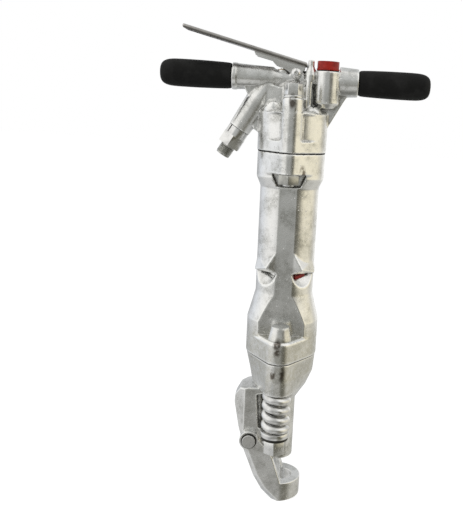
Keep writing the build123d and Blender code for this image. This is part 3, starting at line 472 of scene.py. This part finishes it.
def object_place(tree, stretch=(1, 1, 1)):
    """Object coordinates, stretched for drawn or brushed patterns."""
    place = tree.nodes.new("ShaderNodeTexCoord").outputs["Object"]
    if stretch == (1, 1, 1):
        return place
    mapping = tree.nodes.new("ShaderNodeMapping")
    feed(tree, mapping.inputs["Vector"], place)
    mapping.inputs["Scale"].default_value = stretch
    return mapping.outputs["Vector"]


def noise(tree, place, scale, detail=3.0, roughness=0.55):
    node = tree.nodes.new("ShaderNodeTexNoise")
    feed(tree, node.inputs["Vector"], place)
    node.inputs["Scale"].default_value = scale
    node.inputs["Detail"].default_value = detail
    node.inputs["Roughness"].default_value = roughness
    return node.outputs[0]


def cells(tree, place, scale):
    """Distance to the nearest of many scattered points."""
    node = tree.nodes.new("ShaderNodeTexVoronoi")
    feed(tree, node.inputs["Vector"], place)
    node.inputs["Scale"].default_value = scale
    return node.outputs["Distance"]


def share(tree, value, low, high, least=0.0, most=1.0):
    """Runs from least to most as a value goes from low to high."""
    node = tree.nodes.new("ShaderNodeMapRange")
    node.clamp = True
    for name, number in (("From Min", low), ("From Max", high), ("To Min", least), ("To Max", most)):
        node.inputs[name].default_value = number
    feed(tree, node.inputs["Value"], value)
    return node.outputs["Result"]


def maths(tree, operation, first, second):
    node = tree.nodes.new("ShaderNodeMath")
    node.operation = operation
    feed(tree, node.inputs[0], first)
    feed(tree, node.inputs[1], second)
    return node.outputs[0]


def mixed(tree, amount, first, second):
    """A colour between two colours."""
    node = tree.nodes.new("ShaderNodeMix")
    node.data_type = "RGBA"
    factor, colour_a, colour_b = node.inputs[0], node.inputs[6], node.inputs[7]
    feed(tree, factor, amount)
    feed(tree, colour_a, first)
    feed(tree, colour_b, second)
    return node.outputs[2]


def bump(tree, height, depth, strength, below=None):
    node = tree.nodes.new("ShaderNodeBump")
    node.inputs["Strength"].default_value = strength
    node.inputs["Distance"].default_value = depth
    feed(tree, node.inputs["Height"], height)
    if below:
        feed(tree, node.inputs["Normal"], below)
    return node.outputs["Normal"]


def stored(tree, name):
    """A value that is stored on the points of a mesh."""
    node = tree.nodes.new("ShaderNodeAttribute")
    node.attribute_name = name
    return node.outputs["Fac"]


def near(tree, place, centre, radius):
    """One at a point, falling to nothing at a radius from it."""
    node = tree.nodes.new("ShaderNodeVectorMath")
    node.operation = "DISTANCE"
    feed(tree, node.inputs[0], place)
    node.inputs[1].default_value = centre
    return share(tree, node.outputs["Value"], radius, 0.0)


def stain_share(tree, place):
    """How much oil and rust has run down at the stained places."""
    upright = object_place(tree, RUN_DOWN)
    total = None
    for centre, radius in STAINS.values():
        spot = near(tree, upright, tuple(part * scale for part, scale in zip(centre, RUN_DOWN)), radius)
        total = spot if total is None else maths(tree, "MAXIMUM", total, spot)
    smudges = share(tree, noise(tree, place, 100, detail=3), 0.40, 0.54, 0.1, 1.0)
    return maths(tree, "MULTIPLY", share(tree, total, 0.0, 0.4), smudges)


def joint_named(name):
    return next(joint for joint in frame["record"]["behaviour"]["joints"] if joint["name"] == name)


def height_over(tree, place, point, across):
    """Distance from the plane through a point."""
    node = tree.nodes.new("ShaderNodeVectorMath")
    node.operation = "DOT_PRODUCT"
    feed(tree, node.inputs[0], place)
    node.inputs[1].default_value = across
    return maths(tree, "SUBTRACT", node.outputs["Value"], point.dot(across))


def seam_line(tree, place, point, across):
    """One on the plane through a point, and nothing a little way off it."""
    sizes = bpy.context.scene.drill_sizes
    height = maths(tree, "ABSOLUTE", height_over(tree, place, point, across), 0.0)
    return share(tree, height, sizes.seam_half, sizes.seam_core, 0.0, 0.85)


def seam_share(tree, place):
    """Dark lines where the cylinder sits on the fronthead and the hose nut on its branch."""
    reach = bpy.context.scene.drill_sizes.collar_reach
    flange = seam_line(tree, place, Vector((0, 0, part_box("cylinder")[0].z)), UP)
    swivel = joint_named("inlet_swivel")
    centre, axis = Vector(swivel["pos_m"]), Vector(swivel["axis"]).normalized()
    collar = seam_line(tree, place, centre, axis)
    collar = maths(tree, "MULTIPLY", collar, share(tree, near(tree, place, centre, reach), 0.0, 0.1))
    return maths(tree, "MAXIMUM", flange, collar)


def film_share(tree, place, patches):
    """How much oil clings round the flange between the cylinder and the fronthead."""
    sizes = bpy.context.scene.drill_sizes
    height = height_over(tree, place, Vector((0, 0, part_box("cylinder")[0].z)), UP)
    spread = share(tree, maths(tree, "ABSOLUTE", height, 0.0), sizes.film_reach, sizes.film_full)
    return maths(tree, "MULTIPLY", spread, share(tree, patches, 0.30, 0.62, 0.15, 0.8))


def cloudy_silver(tree, place, clouds, blotches, grain):
    """Bare metal with cloudy patches, an oil film and small rubbed spots."""
    colours = bpy.context.scene.drill_colours
    dull = share(tree, blotches, 0.38, 0.60, 0.35, 1.0)
    dull = maths(tree, "MULTIPLY", dull, share(tree, clouds, 0.42, 0.60))
    colour = mixed(tree, dull, colours.silver, colours.silver_dull)
    colour = mixed(tree, film_share(tree, place, blotches), colour, colours.oil_film)
    return mixed(tree, share(tree, grain, 0.56, 0.70), colour, colours.silver_worn)


def hollow_shade_and_seam_share(tree, place, depth, blotches):
    """How much painted shade, broken up in patches of dirt, darkens the hollows, and how dark the seam lines
    are.
    """
    patchy = share(tree, blotches, 0.36, 0.60, 0.12, 0.50)
    # Painted shade: the deeper a point lies in a hollow, the darker, broken up in patches.
    hollow = maths(tree, "MULTIPLY", share(tree, depth, 0.10, 0.55), patchy)
    return maths(tree, "MAXIMUM", hollow, seam_share(tree, place))


def cast_skin(tree, place, blotches, grain, pits):
    """The lumps, grain, dents and pits of a casting's skin."""
    dents = share(tree, cells(tree, place, 130), 0.15, 0.0)
    lumps = bump(tree, blotches, 0.0011, 0.15)
    skin = bump(tree, grain, 0.0004, 0.09, below=lumps)
    dented = bump(tree, dents, -0.0007, 0.6, below=skin)
    return bump(tree, pits, -0.0008, 0.5, below=dented)


def silver_casting_finish():
    """Bare silver castings: cloudy and dented, rubbed on the ridges, with painted shade and patchy dirt in
    the hollows.
    """
    colours = bpy.context.scene.drill_colours
    material, tree, shader = start_finish("silver_casting", metallic=0.96, roughness=0.28)
    place = object_place(tree)
    depth = stored(tree, "relief")
    clouds = noise(tree, place, 30, detail=5)
    blotches = noise(tree, place, 130, detail=5, roughness=0.66)
    grain = noise(tree, place, 560, detail=3)
    pits = share(tree, cells(tree, place, 240), 0.17, 0.06)
    pits = maths(tree, "MULTIPLY", pits, share(tree, clouds, 0.52, 0.60))

    colour = cloudy_silver(tree, place, clouds, blotches, grain)
    ridge = maths(tree, "MULTIPLY", share(tree, depth, -0.06, -0.30), share(tree, blotches, 0.30, 0.52))
    colour = mixed(tree, ridge, colour, colours.silver_worn)
    # Painted shade in the hollows, with patchy dirt, plus the dark seam lines.
    hollow = hollow_shade_and_seam_share(tree, place, depth, blotches)
    colour = mixed(tree, hollow, colour, colours.grime_and_shade)
    colour = mixed(tree, maths(tree, "MULTIPLY", stain_share(tree, place), 0.85), colour, colours.rust)
    colour = mixed(tree, maths(tree, "MULTIPLY", pits, 0.8), colour, colours.grime_and_shade)
    feed(tree, shader.inputs["Base Color"], colour)

    rough = share(tree, blotches, 0.30, 0.70, 0.18, 0.32)
    rough = maths(tree, "ADD", rough, maths(tree, "MULTIPLY", hollow, 0.30))
    feed(tree, shader.inputs["Roughness"], rough)
    feed(tree, shader.inputs["Normal"], cast_skin(tree, place, blotches, grain, pits))
    return material


def lever_top():
    """A point on the top face of the throttle lever, and the direction away from the face."""
    shape = flat_copy("throttle_lever")
    top = max((face for face in shape.faces if face.normal.z > 0.5), key=lambda face: face.calc_area())
    point, away = top.calc_center_median(), top.normal.copy()
    shape.free()
    return point, away


def lever_painted_shade_and_highlight(tree, place, tone):
    """A painted shade band along the lower edge of the lever's flange, and a painted highlight on the part
    below it.
    """
    colours = bpy.context.scene.drill_colours
    flange = bpy.context.scene.drill_sizes.lever_flange
    point, away = lever_top()
    drop = height_over(tree, place, point, -away)
    parts = tree.nodes.new("ShaderNodeSeparateXYZ")
    feed(tree, parts.inputs[0], place)
    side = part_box("throttle_lever")[1].y
    outer = share(tree, maths(tree, "ABSOLUTE", parts.outputs["Y"], 0.0), side * 0.86, side * 0.92)
    # Painted shade: a dark band along the lower edge of the flange, on the outer sides.
    edge = share(tree, drop, flange * 0.46, flange * 0.70, 0.0, 0.75)
    # Painted highlight: below the flange the lever is turned to bright steel.
    skirt = share(tree, drop, flange * 1.2, flange * 1.5)
    tone = mixed(tree, maths(tree, "MULTIPLY", edge, outer), tone, colours.grime_and_shade)
    return mixed(tree, skirt, tone, colours.steel)


def drawn_steel_finish(name, colour, roughness, stretch=(1, 1, 1)):
    """Turned or drawn steel with fine lines, faint stains and fingerprints."""
    colours = bpy.context.scene.drill_colours
    material, tree, shader = start_finish(name, metallic=1.0, roughness=roughness)
    place = object_place(tree)
    lines = noise(tree, object_place(tree, stretch), 900, detail=2)
    stains = noise(tree, place, 70, detail=5, roughness=0.64)
    specks = share(tree, cells(tree, place, 330), 0.16, 0.05)
    specks = maths(tree, "MULTIPLY", specks, share(tree, stains, 0.50, 0.60))
    dull = tuple(channel * 0.68 for channel in colour)
    tone = mixed(tree, share(tree, stains, 0.44, 0.66, 0.0, 0.8), colour, dull)
    tone = mixed(tree, maths(tree, "MULTIPLY", specks, 0.7), tone, colours.grime_and_shade)
    # The lever also gets a painted shade band and a painted highlight below its flange.
    if name == "lever_steel":
        tone = lever_painted_shade_and_highlight(tree, place, tone)
    feed(tree, shader.inputs["Base Color"], tone)
    smear = share(tree, stains, 0.25, 0.75, roughness - 0.07, roughness + 0.10)
    feed(tree, shader.inputs["Roughness"], smear)
    feed(tree, shader.inputs["Normal"], bump(tree, lines, 0.00025, 0.06))
    return material


def rubber_finish(name, colour, roughness):
    """Moulded rubber with a fine grain, dusty on the worn patches."""
    material, tree, shader = start_finish(name, metallic=0.0, roughness=roughness)
    shader.inputs["Specular IOR Level"].default_value = 0.12
    place = object_place(tree)
    grain = noise(tree, place, 900, detail=2)
    handled = noise(tree, place, 40, detail=4)
    dusty = tuple(channel * 1.9 + 0.002 for channel in colour)
    feed(tree, shader.inputs["Base Color"], mixed(tree, share(tree, handled, 0.45, 0.70), colour, dusty))
    feed(tree, shader.inputs["Roughness"], share(tree, handled, 0.3, 0.7, roughness - 0.08, roughness + 0.08))
    feed(tree, shader.inputs["Normal"], bump(tree, grain, 0.0004, 0.3))
    return material


def red_plastic_finish(name, colour):
    """Glossy red plastic with fine scratches and a little dust."""
    material, tree, shader = start_finish(name, metallic=0.0, roughness=0.3)
    shader.inputs["Specular IOR Level"].default_value = 0.35
    place = object_place(tree)
    scratches = noise(tree, object_place(tree, (1, 1, 14)), 180, detail=3)
    dust = noise(tree, place, 120, detail=4)
    deep = tuple(channel * 0.6 for channel in colour)
    feed(tree, shader.inputs["Base Color"], mixed(tree, share(tree, dust, 0.40, 0.68), colour, deep))
    feed(tree, shader.inputs["Roughness"], share(tree, dust, 0.3, 0.7, 0.24, 0.42))
    feed(tree, shader.inputs["Normal"], bump(tree, scratches, 0.0003, 0.12))
    return material


def finish(name):
    """One of the drill's finishes, made the first time that it is asked for."""
    colours = bpy.context.scene.drill_colours
    made = bpy.data.materials.get(FINISH_PREFIX + name)
    if made:
        return made
    if name == "silver_casting":
        return silver_casting_finish()
    if name == "red_plastic":
        return red_plastic_finish(name, colours.red)
    if name == "oily_and_shaded_red_plastic":
        return red_plastic_finish(name, colours.oily_and_shaded_red)
    if name == "grip_rubber":
        return rubber_finish(name, tuple(colours.rubber), 0.60)
    if name == "seal_rubber":
        return rubber_finish(name, tuple(colours.seal), 0.70)
    steels = {
        "spring_plating": (colours.spring_plate, 0.30, (1, 1, 1)),
        "lever_steel": (colours.lever_steel, 0.25, (0.05, 1, 0.3)),
        "bearing_bronze": (colours.bronze, 0.34, (1, 1, 1)),
        "black_steel": (colours.black_steel, 0.45, (1, 1, 1)),
        "oily_and_shaded_steel": (colours.oily_and_shaded_steel, 0.30, (1, 1, 1)),
        "machined_steel": (colours.steel, 0.20, (1, 1, 0.2)),
    }
    colour, roughness, stretch = steels[name]
    return drawn_steel_finish(name, tuple(colour), roughness, stretch)


# Pieces

class DRILL_OT_castings(bpy.types.Operator):
    """Softens the four castings and gives them their silver skin"""

    bl_idname = "drill.castings"
    bl_label = "Castings"

    def execute(self, context):
        sizes = context.scene.drill_sizes
        skins = {
            "backhead": sizes.backhead_skin,
            "cylinder": sizes.cylinder_skin,
            "fronthead": sizes.fronthead_skin,
            "latch": sizes.latch_skin,
        }
        for node, skin in skins.items():
            piece = add_piece(node + "_casting", merged_copy(node), finish("silver_casting"), [node])
            soften(piece, skin, sizes.casting_passes)
            keep_relief(piece.data)
            thin_flats(piece, sizes.casting_triangles)
            piece.data.shade_smooth()
        return {"FINISHED"}


class DRILL_OT_grips(bpy.types.Operator):
    """Moulds the two rubber grips"""

    bl_idname = "drill.grips"
    bl_label = "Grips"

    def execute(self, context):
        sizes = context.scene.drill_sizes
        for node, side in (("left_grip", -1), ("right_grip", 1)):
            low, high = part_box(node)
            start, end = sorted((abs(low.x), abs(high.x)))
            full = (high.z - low.z) / 2
            centre = Vector((0, 0, (low.z + high.z) / 2))
            slim = full * 0.94
            bore = full * 0.62
            lip = sizes.grip_lip
            outline = [
                (start, bore), (start, slim - lip), (start + lip * 0.5, slim - lip * 0.35),
                (start + lip * 1.5, slim), (start + 0.025, full * 0.97), (start + 0.050, full),
                (end - 0.026, full), (end - 0.017, full * 0.97), (end - 0.010, full * 0.91),
                (end - 0.005, full * 0.80), (end - 0.0015, full * 0.64), (end, full * 0.40), (end, 0),
            ]
            shape = lathe(outline, centre, (side, 0, 0))
            piece = add_piece(node + "_rubber", shape, finish("grip_rubber"), [node])
            curved = piece.modifiers.new("smooth_rubber", "SUBSURF")
            curved.levels = 1
            curved.render_levels = 1
            piece.data.shade_smooth()
        return {"FINISHED"}


class DRILL_OT_oil_cap(bpy.types.Operator):
    """Makes the red oil cap with its rim and its seal"""

    bl_idname = "drill.oil_cap"
    bl_label = "Oil cap"

    def execute(self, context):
        sizes = context.scene.drill_sizes
        low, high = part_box("oil_cap")
        seal_low, seal_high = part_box("oil_cap_seal")
        radius = (high.x - low.x) / 2
        centre = Vector(((low.x + high.x) / 2, (low.y + high.y) / 2, 0))
        side = radius - sizes.cap_step
        plug = radius * 0.72
        foot, top = seal_high.z, high.z
        outline = [
            (low.z, 0), (low.z, plug), (foot, plug), (foot, radius),
            (foot + sizes.cap_rim, radius), (foot + sizes.cap_rim, side), (top, side), (top, radius * 0.80),
            (top - sizes.cap_dish, radius * 0.78), (top - sizes.cap_dish, 0),
        ]
        shape = lathe(outline, centre, UP)
        round_edges(shape, sizes.edge_round)
        shade(add_piece("oil_cap_red", shape, finish("red_plastic"), ["oil_cap"]))
        refinish("oil_cap_seal", finish("seal_rubber"))
        return {"FINISHED"}


class DRILL_OT_throttle_lever(bpy.types.Operator):
    """Rounds the edges of the throttle lever and its pin"""

    bl_idname = "drill.throttle_lever"
    bl_label = "Throttle lever"

    def execute(self, context):
        sizes = context.scene.drill_sizes
        lever = flat_copy("throttle_lever")
        round_edges(lever, sizes.lever_round, side_rims(lever), segments=5)
        round_edges(lever, sizes.edge_round)
        shade(add_piece("throttle_lever_pressing", lever, finish("lever_steel"), ["throttle_lever"]))
        pin = crisp_copy("lever_pin", sizes.edge_round)
        shade(add_piece("lever_pin_turned", pin, finish("machined_steel"), ["lever_pin"]))
        refinish("lever_pin_ring", finish("machined_steel"))
        return {"FINISHED"}


class DRILL_OT_hose_inlet(bpy.types.Operator):
    """Makes the hose nut and the threaded nipple"""

    bl_idname = "drill.hose_inlet"
    bl_label = "Hose inlet"

    def execute(self, context):
        sizes = context.scene.drill_sizes
        nut = crisp_copy("inlet_nut", sizes.edge_round)
        shade(add_piece("inlet_nut_hexagon", nut, finish("machined_steel"), ["inlet_nut"]))
        swivel = joint_named("inlet_swivel")
        centre, axis = Vector(swivel["pos_m"]), Vector(swivel["axis"]).normalized()
        pipe = flat_copy("inlet_nipple")
        start, end, crest = slim_shaft(pipe, centre, axis, sizes.thread_depth)
        round_edges(pipe, sizes.edge_round)
        root = crest - 1.1 * sizes.thread_depth
        last = end - 1.5 * sizes.edge_round
        wind_thread(pipe, centre, axis, start, last, root, crest, sizes.thread_pitch)
        shade(add_piece("inlet_nipple_pipe", pipe, finish("oily_and_shaded_steel"), ["inlet_nipple"]))
        refinish("inlet_seal", finish("seal_rubber"))
        return {"FINISHED"}


class DRILL_OT_fasteners(bpy.types.Operator):
    """Rounds the edges of the bolts, rods, nuts, washers, rings and pins"""

    bl_idname = "drill.fasteners"
    bl_label = "Fasteners"

    finishes = {
        "silver_casting": ("upper_bolts", "side_rods", "rod_nuts"),
        "machined_steel": ("upper_washers", "spring_seats", "chuck_bushing", "latch_pin"),
        # The upper nuts' darker steel is oil and painted shade for their pockets.
        "oily_and_shaded_steel": ("upper_nuts",),
        "black_steel": ("rod_lock_rings", "latch_pin_rings"),
    }

    def execute(self, context):
        width = context.scene.drill_sizes.edge_round
        for name, nodes in self.finishes.items():
            for node in nodes:
                shade(add_piece(node + "_steel", crisp_copy(node, width), finish(name), [node]))
        return {"FINISHED"}


class DRILL_OT_springs(bpy.types.Operator):
    """Winds the two buffer springs and the throttle spring"""

    bl_idname = "drill.springs"
    bl_label = "Springs"

    def execute(self, context):
        sizes = context.scene.drill_sizes
        for node in ("front_buffer_spring", "rear_buffer_spring"):
            low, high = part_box(node)
            centre = (low + high) / 2
            radius = (high.x - low.x) / 2 - sizes.spring_wire / 2
            shape = coil(
                centre, radius, sizes.spring_wire, low.z, high.z, closed_turns=0.5, open_turns=2.5,
                closed_gap=sizes.spring_closed_gap,
            )
            piece = add_piece(node + "_coil", shape, finish("spring_plating"), [node])
            shade(piece)
            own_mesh(piece)
        low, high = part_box("throttle_spring")
        centre = (low + high) / 2
        radius = (high.x - low.x) / 2 - sizes.throttle_wire / 2
        shape = coil(
            centre, radius, sizes.throttle_wire, low.z, high.z, closed_turns=1.0, open_turns=4.0,
            closed_gap=sizes.throttle_closed_gap, sides=12,
        )
        piece = add_piece("throttle_spring_coil", shape, finish("spring_plating"), ["throttle_spring"])
        shade(piece)
        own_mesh(piece)
        return {"FINISHED"}


class DRILL_OT_inner_works(bpy.types.Operator):
    """Gives the pieces inside the drill, its gasket and its exhaust insert their finishes"""

    bl_idname = "drill.inner_works"
    bl_label = "Inner works"

    finishes = {
        "machined_steel": (
            "valve_seat", "valve_chest_ring", "valve_chest_cover", "kicker_valve", "piston", "anvil",
            "throttle_valve",
        ),
        "bearing_bronze": ("anvil_bushing", "throttle_bushing"),
        "seal_rubber": ("backhead_gasket",),
        # The exhaust insert's darker red is oil and painted shade inside the port.
        "oily_and_shaded_red_plastic": ("exhaust_plug",),
    }

    def execute(self, context):
        for name, nodes in self.finishes.items():
            for node in nodes:
                refinish(node, finish(name))
        return {"FINISHED"}


# Stage

def colour_ring(tree, around, stops):
    """Colour by compass direction, from degrees with nought at the front and the right above nought."""
    ring = tree.nodes.new("ShaderNodeValToRGB")
    feed(tree, ring.inputs["Fac"], share(tree, around, -math.pi, math.pi))
    while len(ring.color_ramp.elements) < len(stops):
        ring.color_ramp.elements.new(0.5)
    for element, (degrees, colour) in zip(ring.color_ramp.elements, stops):
        element.position = (degrees + 180) / 360
        element.color = (*colour, 1.0)
    return ring.outputs["Color"]


def floor_ring(tree, around, stage, front, corner):
    """The floor round the drill, bright at the left, with a dark patch at the front right."""
    return colour_ring(tree, around, (
        (-180, stage.pale_floor), (-125, stage.pale_floor), (-105, stage.left_floor),
        (-62, stage.left_floor), (-44, stage.pale_floor), (-20, front), (16, front), (32, corner),
        (56, corner), (84, stage.warm_floor), (140, stage.warm_floor), (180, stage.pale_floor),
    ))


def room_colours(tree, stage):
    """Colour of the room by direction, as the metal sees it: pale left, dim in front, warm right."""
    direction = tree.nodes.new("ShaderNodeTexCoord").outputs["Generated"]
    parts = tree.nodes.new("ShaderNodeSeparateXYZ")
    feed(tree, parts.inputs[0], direction)
    height = parts.outputs["Z"]
    forward = maths(tree, "MULTIPLY", parts.outputs["Y"], -1.0)
    around = maths(tree, "ARCTAN2", parts.outputs["X"], forward)
    walls = colour_ring(tree, around, (
        (-180, stage.grey_corner), (-152, stage.grey_corner), (-118, stage.cool_wall), (-76, stage.backdrop),
        (-46, stage.backdrop), (-22, stage.room_grey), (14, stage.room_grey), (28, stage.dark_corner),
        (44, stage.dark_corner),
        (60, stage.warm_wall), (104, stage.warm_wall), (128, stage.pale_corner), (150, stage.backdrop),
        (170, stage.backdrop), (180, stage.grey_corner),
    ))
    ceiling = colour_ring(tree, around, (
        (-180, stage.dim_ceiling), (-160, stage.dim_ceiling), (-130, stage.backdrop), (-26, stage.backdrop),
        (-10, stage.front_ceiling), (14, stage.front_ceiling), (36, stage.backdrop), (100, stage.backdrop),
        (130, stage.dim_ceiling), (180, stage.dim_ceiling),
    ))
    floor = floor_ring(tree, around, stage, stage.dim_floor, stage.dark_corner)
    near_floor = floor_ring(tree, around, stage, stage.sheet, stage.soft_corner)
    colour = mixed(tree, share(tree, height, 0.06, 0.45), walls, ceiling)
    colour = mixed(tree, share(tree, height, -0.14, -0.38), colour, floor)
    colour = mixed(tree, share(tree, height, -0.42, -0.56), colour, near_floor)
    return mixed(tree, share(tree, height, -0.86, -0.97), colour, stage.shade)


def light_room(stage):
    """White to the camera, the room to metal and glass, and an even level to all else."""
    world = bpy.data.worlds.new("studio")
    bpy.context.scene.world = world
    world.use_nodes = True
    world.cycles.sampling_method = "NONE"
    tree = world.node_tree
    tree.nodes.clear()
    rays = tree.nodes.new("ShaderNodeLightPath")
    sky = tree.nodes.new("ShaderNodeBackground")
    room = tree.nodes.new("ShaderNodeBackground")
    even = tree.nodes.new("ShaderNodeBackground")
    feed(tree, sky.inputs["Color"], (1.0, 1.0, 1.0))
    feed(tree, room.inputs["Color"], room_colours(tree, stage))
    feed(tree, even.inputs["Color"], (1.0, 1.0, 1.0))
    even.inputs["Strength"].default_value = stage.plain_level
    metal_or_even = tree.nodes.new("ShaderNodeMixShader")
    feed(tree, metal_or_even.inputs[0], rays.outputs["Is Glossy Ray"])
    feed(tree, metal_or_even.inputs[1], even.outputs[0])
    feed(tree, metal_or_even.inputs[2], room.outputs[0])
    seen = maths(tree, "MAXIMUM", rays.outputs["Is Camera Ray"], rays.outputs["Is Transmission Ray"])
    final = tree.nodes.new("ShaderNodeMixShader")
    feed(tree, final.inputs[0], seen)
    feed(tree, final.inputs[1], metal_or_even.outputs[0])
    feed(tree, final.inputs[2], sky.outputs[0])
    surface = tree.nodes.new("ShaderNodeOutputWorld")
    feed(tree, surface.inputs["Surface"], final.outputs[0])


def pale_floor_finish(stage):
    """Matt and pale, with a glow for the camera alone, so that the floor keeps the drill's shadow."""
    material = bpy.data.materials.new("pale_floor")
    material.use_nodes = True
    tree = material.node_tree
    tree.nodes.clear()
    rays = tree.nodes.new("ShaderNodeLightPath")
    matt = tree.nodes.new("ShaderNodeBsdfDiffuse")
    feed(tree, matt.inputs["Color"], stage.floor_colour)
    glow = tree.nodes.new("ShaderNodeEmission")
    feed(tree, glow.inputs["Color"], (1.0, 1.0, 1.0))
    seen = maths(tree, "MULTIPLY", rays.outputs["Is Camera Ray"], stage.floor_glow)
    blend = tree.nodes.new("ShaderNodeAddShader")
    dimmed = tree.nodes.new("ShaderNodeMixShader")
    dark = tree.nodes.new("ShaderNodeEmission")
    dark.inputs["Strength"].default_value = 0.0
    feed(tree, dimmed.inputs[0], seen)
    feed(tree, dimmed.inputs[1], dark.outputs[0])
    feed(tree, dimmed.inputs[2], glow.outputs[0])
    feed(tree, blend.inputs[0], matt.outputs[0])
    feed(tree, blend.inputs[1], dimmed.outputs[0])
    surface = tree.nodes.new("ShaderNodeOutputMaterial")
    feed(tree, surface.inputs["Surface"], blend.outputs[0])
    return material


def lay_floor(stage):
    """A level floor just under the latch."""
    shape = bmesh.new()
    level = Matrix.Translation((0, 0, cad_low.z - stage.floor_gap))
    bmesh.ops.create_grid(shape, x_segments=1, y_segments=1, size=stage.floor_size, matrix=level)
    mesh = bpy.data.meshes.new("floor")
    shape.to_mesh(mesh)
    shape.free()
    mesh.materials.append(pale_floor_finish(stage))
    floor = bpy.data.objects.new("floor", mesh)
    floor.visible_glossy = False
    bpy.context.scene.collection.objects.link(floor)


def hang_lamp(name, place, aim, size, power):
    """A soft square lamp that points at a place."""
    lamp = bpy.data.lights.new(name, "AREA")
    lamp.shape = "SQUARE"
    lamp.size = size
    lamp.energy = power
    holder = bpy.data.objects.new(name, lamp)
    holder.visible_glossy = False
    holder.location = place
    holder.rotation_euler = (Vector(aim) - Vector(place)).to_track_quat("-Z", "Y").to_euler()
    bpy.context.scene.collection.objects.link(holder)


def set_camera(stage):
    """The photograph's view: level across, looking down, with the picture leaning a little."""
    tilt, roll = stage.camera_tilt, stage.camera_roll
    ahead = Vector((0, math.cos(tilt), -math.sin(tilt)))
    level = Vector((1, 0, 0))
    down = ahead.cross(level)
    right = level * math.cos(roll) - down * math.sin(roll)
    above = -(level * math.sin(roll) + down * math.cos(roll))
    lens = bpy.data.cameras.new("camera")
    lens.lens = stage.camera_lens
    lens.shift_x = stage.camera_shift
    camera = bpy.data.objects.new("camera", lens)
    turn = Matrix((right, above, -ahead)).transposed().to_4x4()
    camera.matrix_world = Matrix.Translation(stage.camera_place) @ turn
    bpy.context.scene.collection.objects.link(camera)
    bpy.context.scene.camera = camera


class DRILL_OT_stage(bpy.types.Operator):
    """Sets the floor, the light and the camera"""

    bl_idname = "drill.stage"
    bl_label = "Stage"

    def execute(self, context):
        stage = context.scene.drill_stage
        context.scene.view_settings.view_transform = "Standard"
        light_room(stage)
        lay_floor(stage)
        middle = (cad_low + cad_high) / 2
        hang_lamp("key_lamp", stage.key_place, middle, stage.key_size, stage.key_power)
        hang_lamp("fill_lamp", stage.fill_place, middle, stage.fill_size, stage.fill_power)
        set_camera(stage)
        return {"FINISHED"}


class DRILL_PT_pieces(bpy.types.Panel):
    """Lists the drill's pieces and its stage"""

    bl_idname = "DRILL_PT_pieces"
    bl_label = "Pneumatic rock drill"
    bl_space_type = "VIEW_3D"
    bl_region_type = "UI"
    bl_category = "Drill"

    def draw(self, context):
        for step in STEPS:
            self.layout.operator(step.bl_idname)
        for settings in (context.scene.drill_sizes, context.scene.drill_colours, context.scene.drill_stage):
            column = self.layout.column()
            for name in settings.__annotations__:
                column.prop(settings, name)


STEPS = (
    DRILL_OT_castings, DRILL_OT_grips, DRILL_OT_oil_cap, DRILL_OT_throttle_lever, DRILL_OT_hose_inlet,
    DRILL_OT_fasteners, DRILL_OT_springs, DRILL_OT_inner_works, DRILL_OT_stage,
)
CLASSES = (DrillSizes, DrillColours, DrillStage, *STEPS, DRILL_PT_pieces)


def register():
    for kind in CLASSES:
        bpy.utils.register_class(kind)
    bpy.types.Scene.drill_sizes = PointerProperty(type=DrillSizes)
    bpy.types.Scene.drill_colours = PointerProperty(type=DrillColours)
    bpy.types.Scene.drill_stage = PointerProperty(type=DrillStage)


def unregister():
    del bpy.types.Scene.drill_stage
    del bpy.types.Scene.drill_colours
    del bpy.types.Scene.drill_sizes
    for kind in reversed(CLASSES):
        bpy.utils.unregister_class(kind)


def main():
    register()
    bpy.ops.drill.castings()
    bpy.ops.drill.grips()
    bpy.ops.drill.oil_cap()
    bpy.ops.drill.throttle_lever()
    bpy.ops.drill.hose_inlet()
    bpy.ops.drill.fasteners()
    bpy.ops.drill.springs()
    bpy.ops.drill.inner_works()
    bpy.ops.drill.stage()


if __name__ == "__main__":
    main()
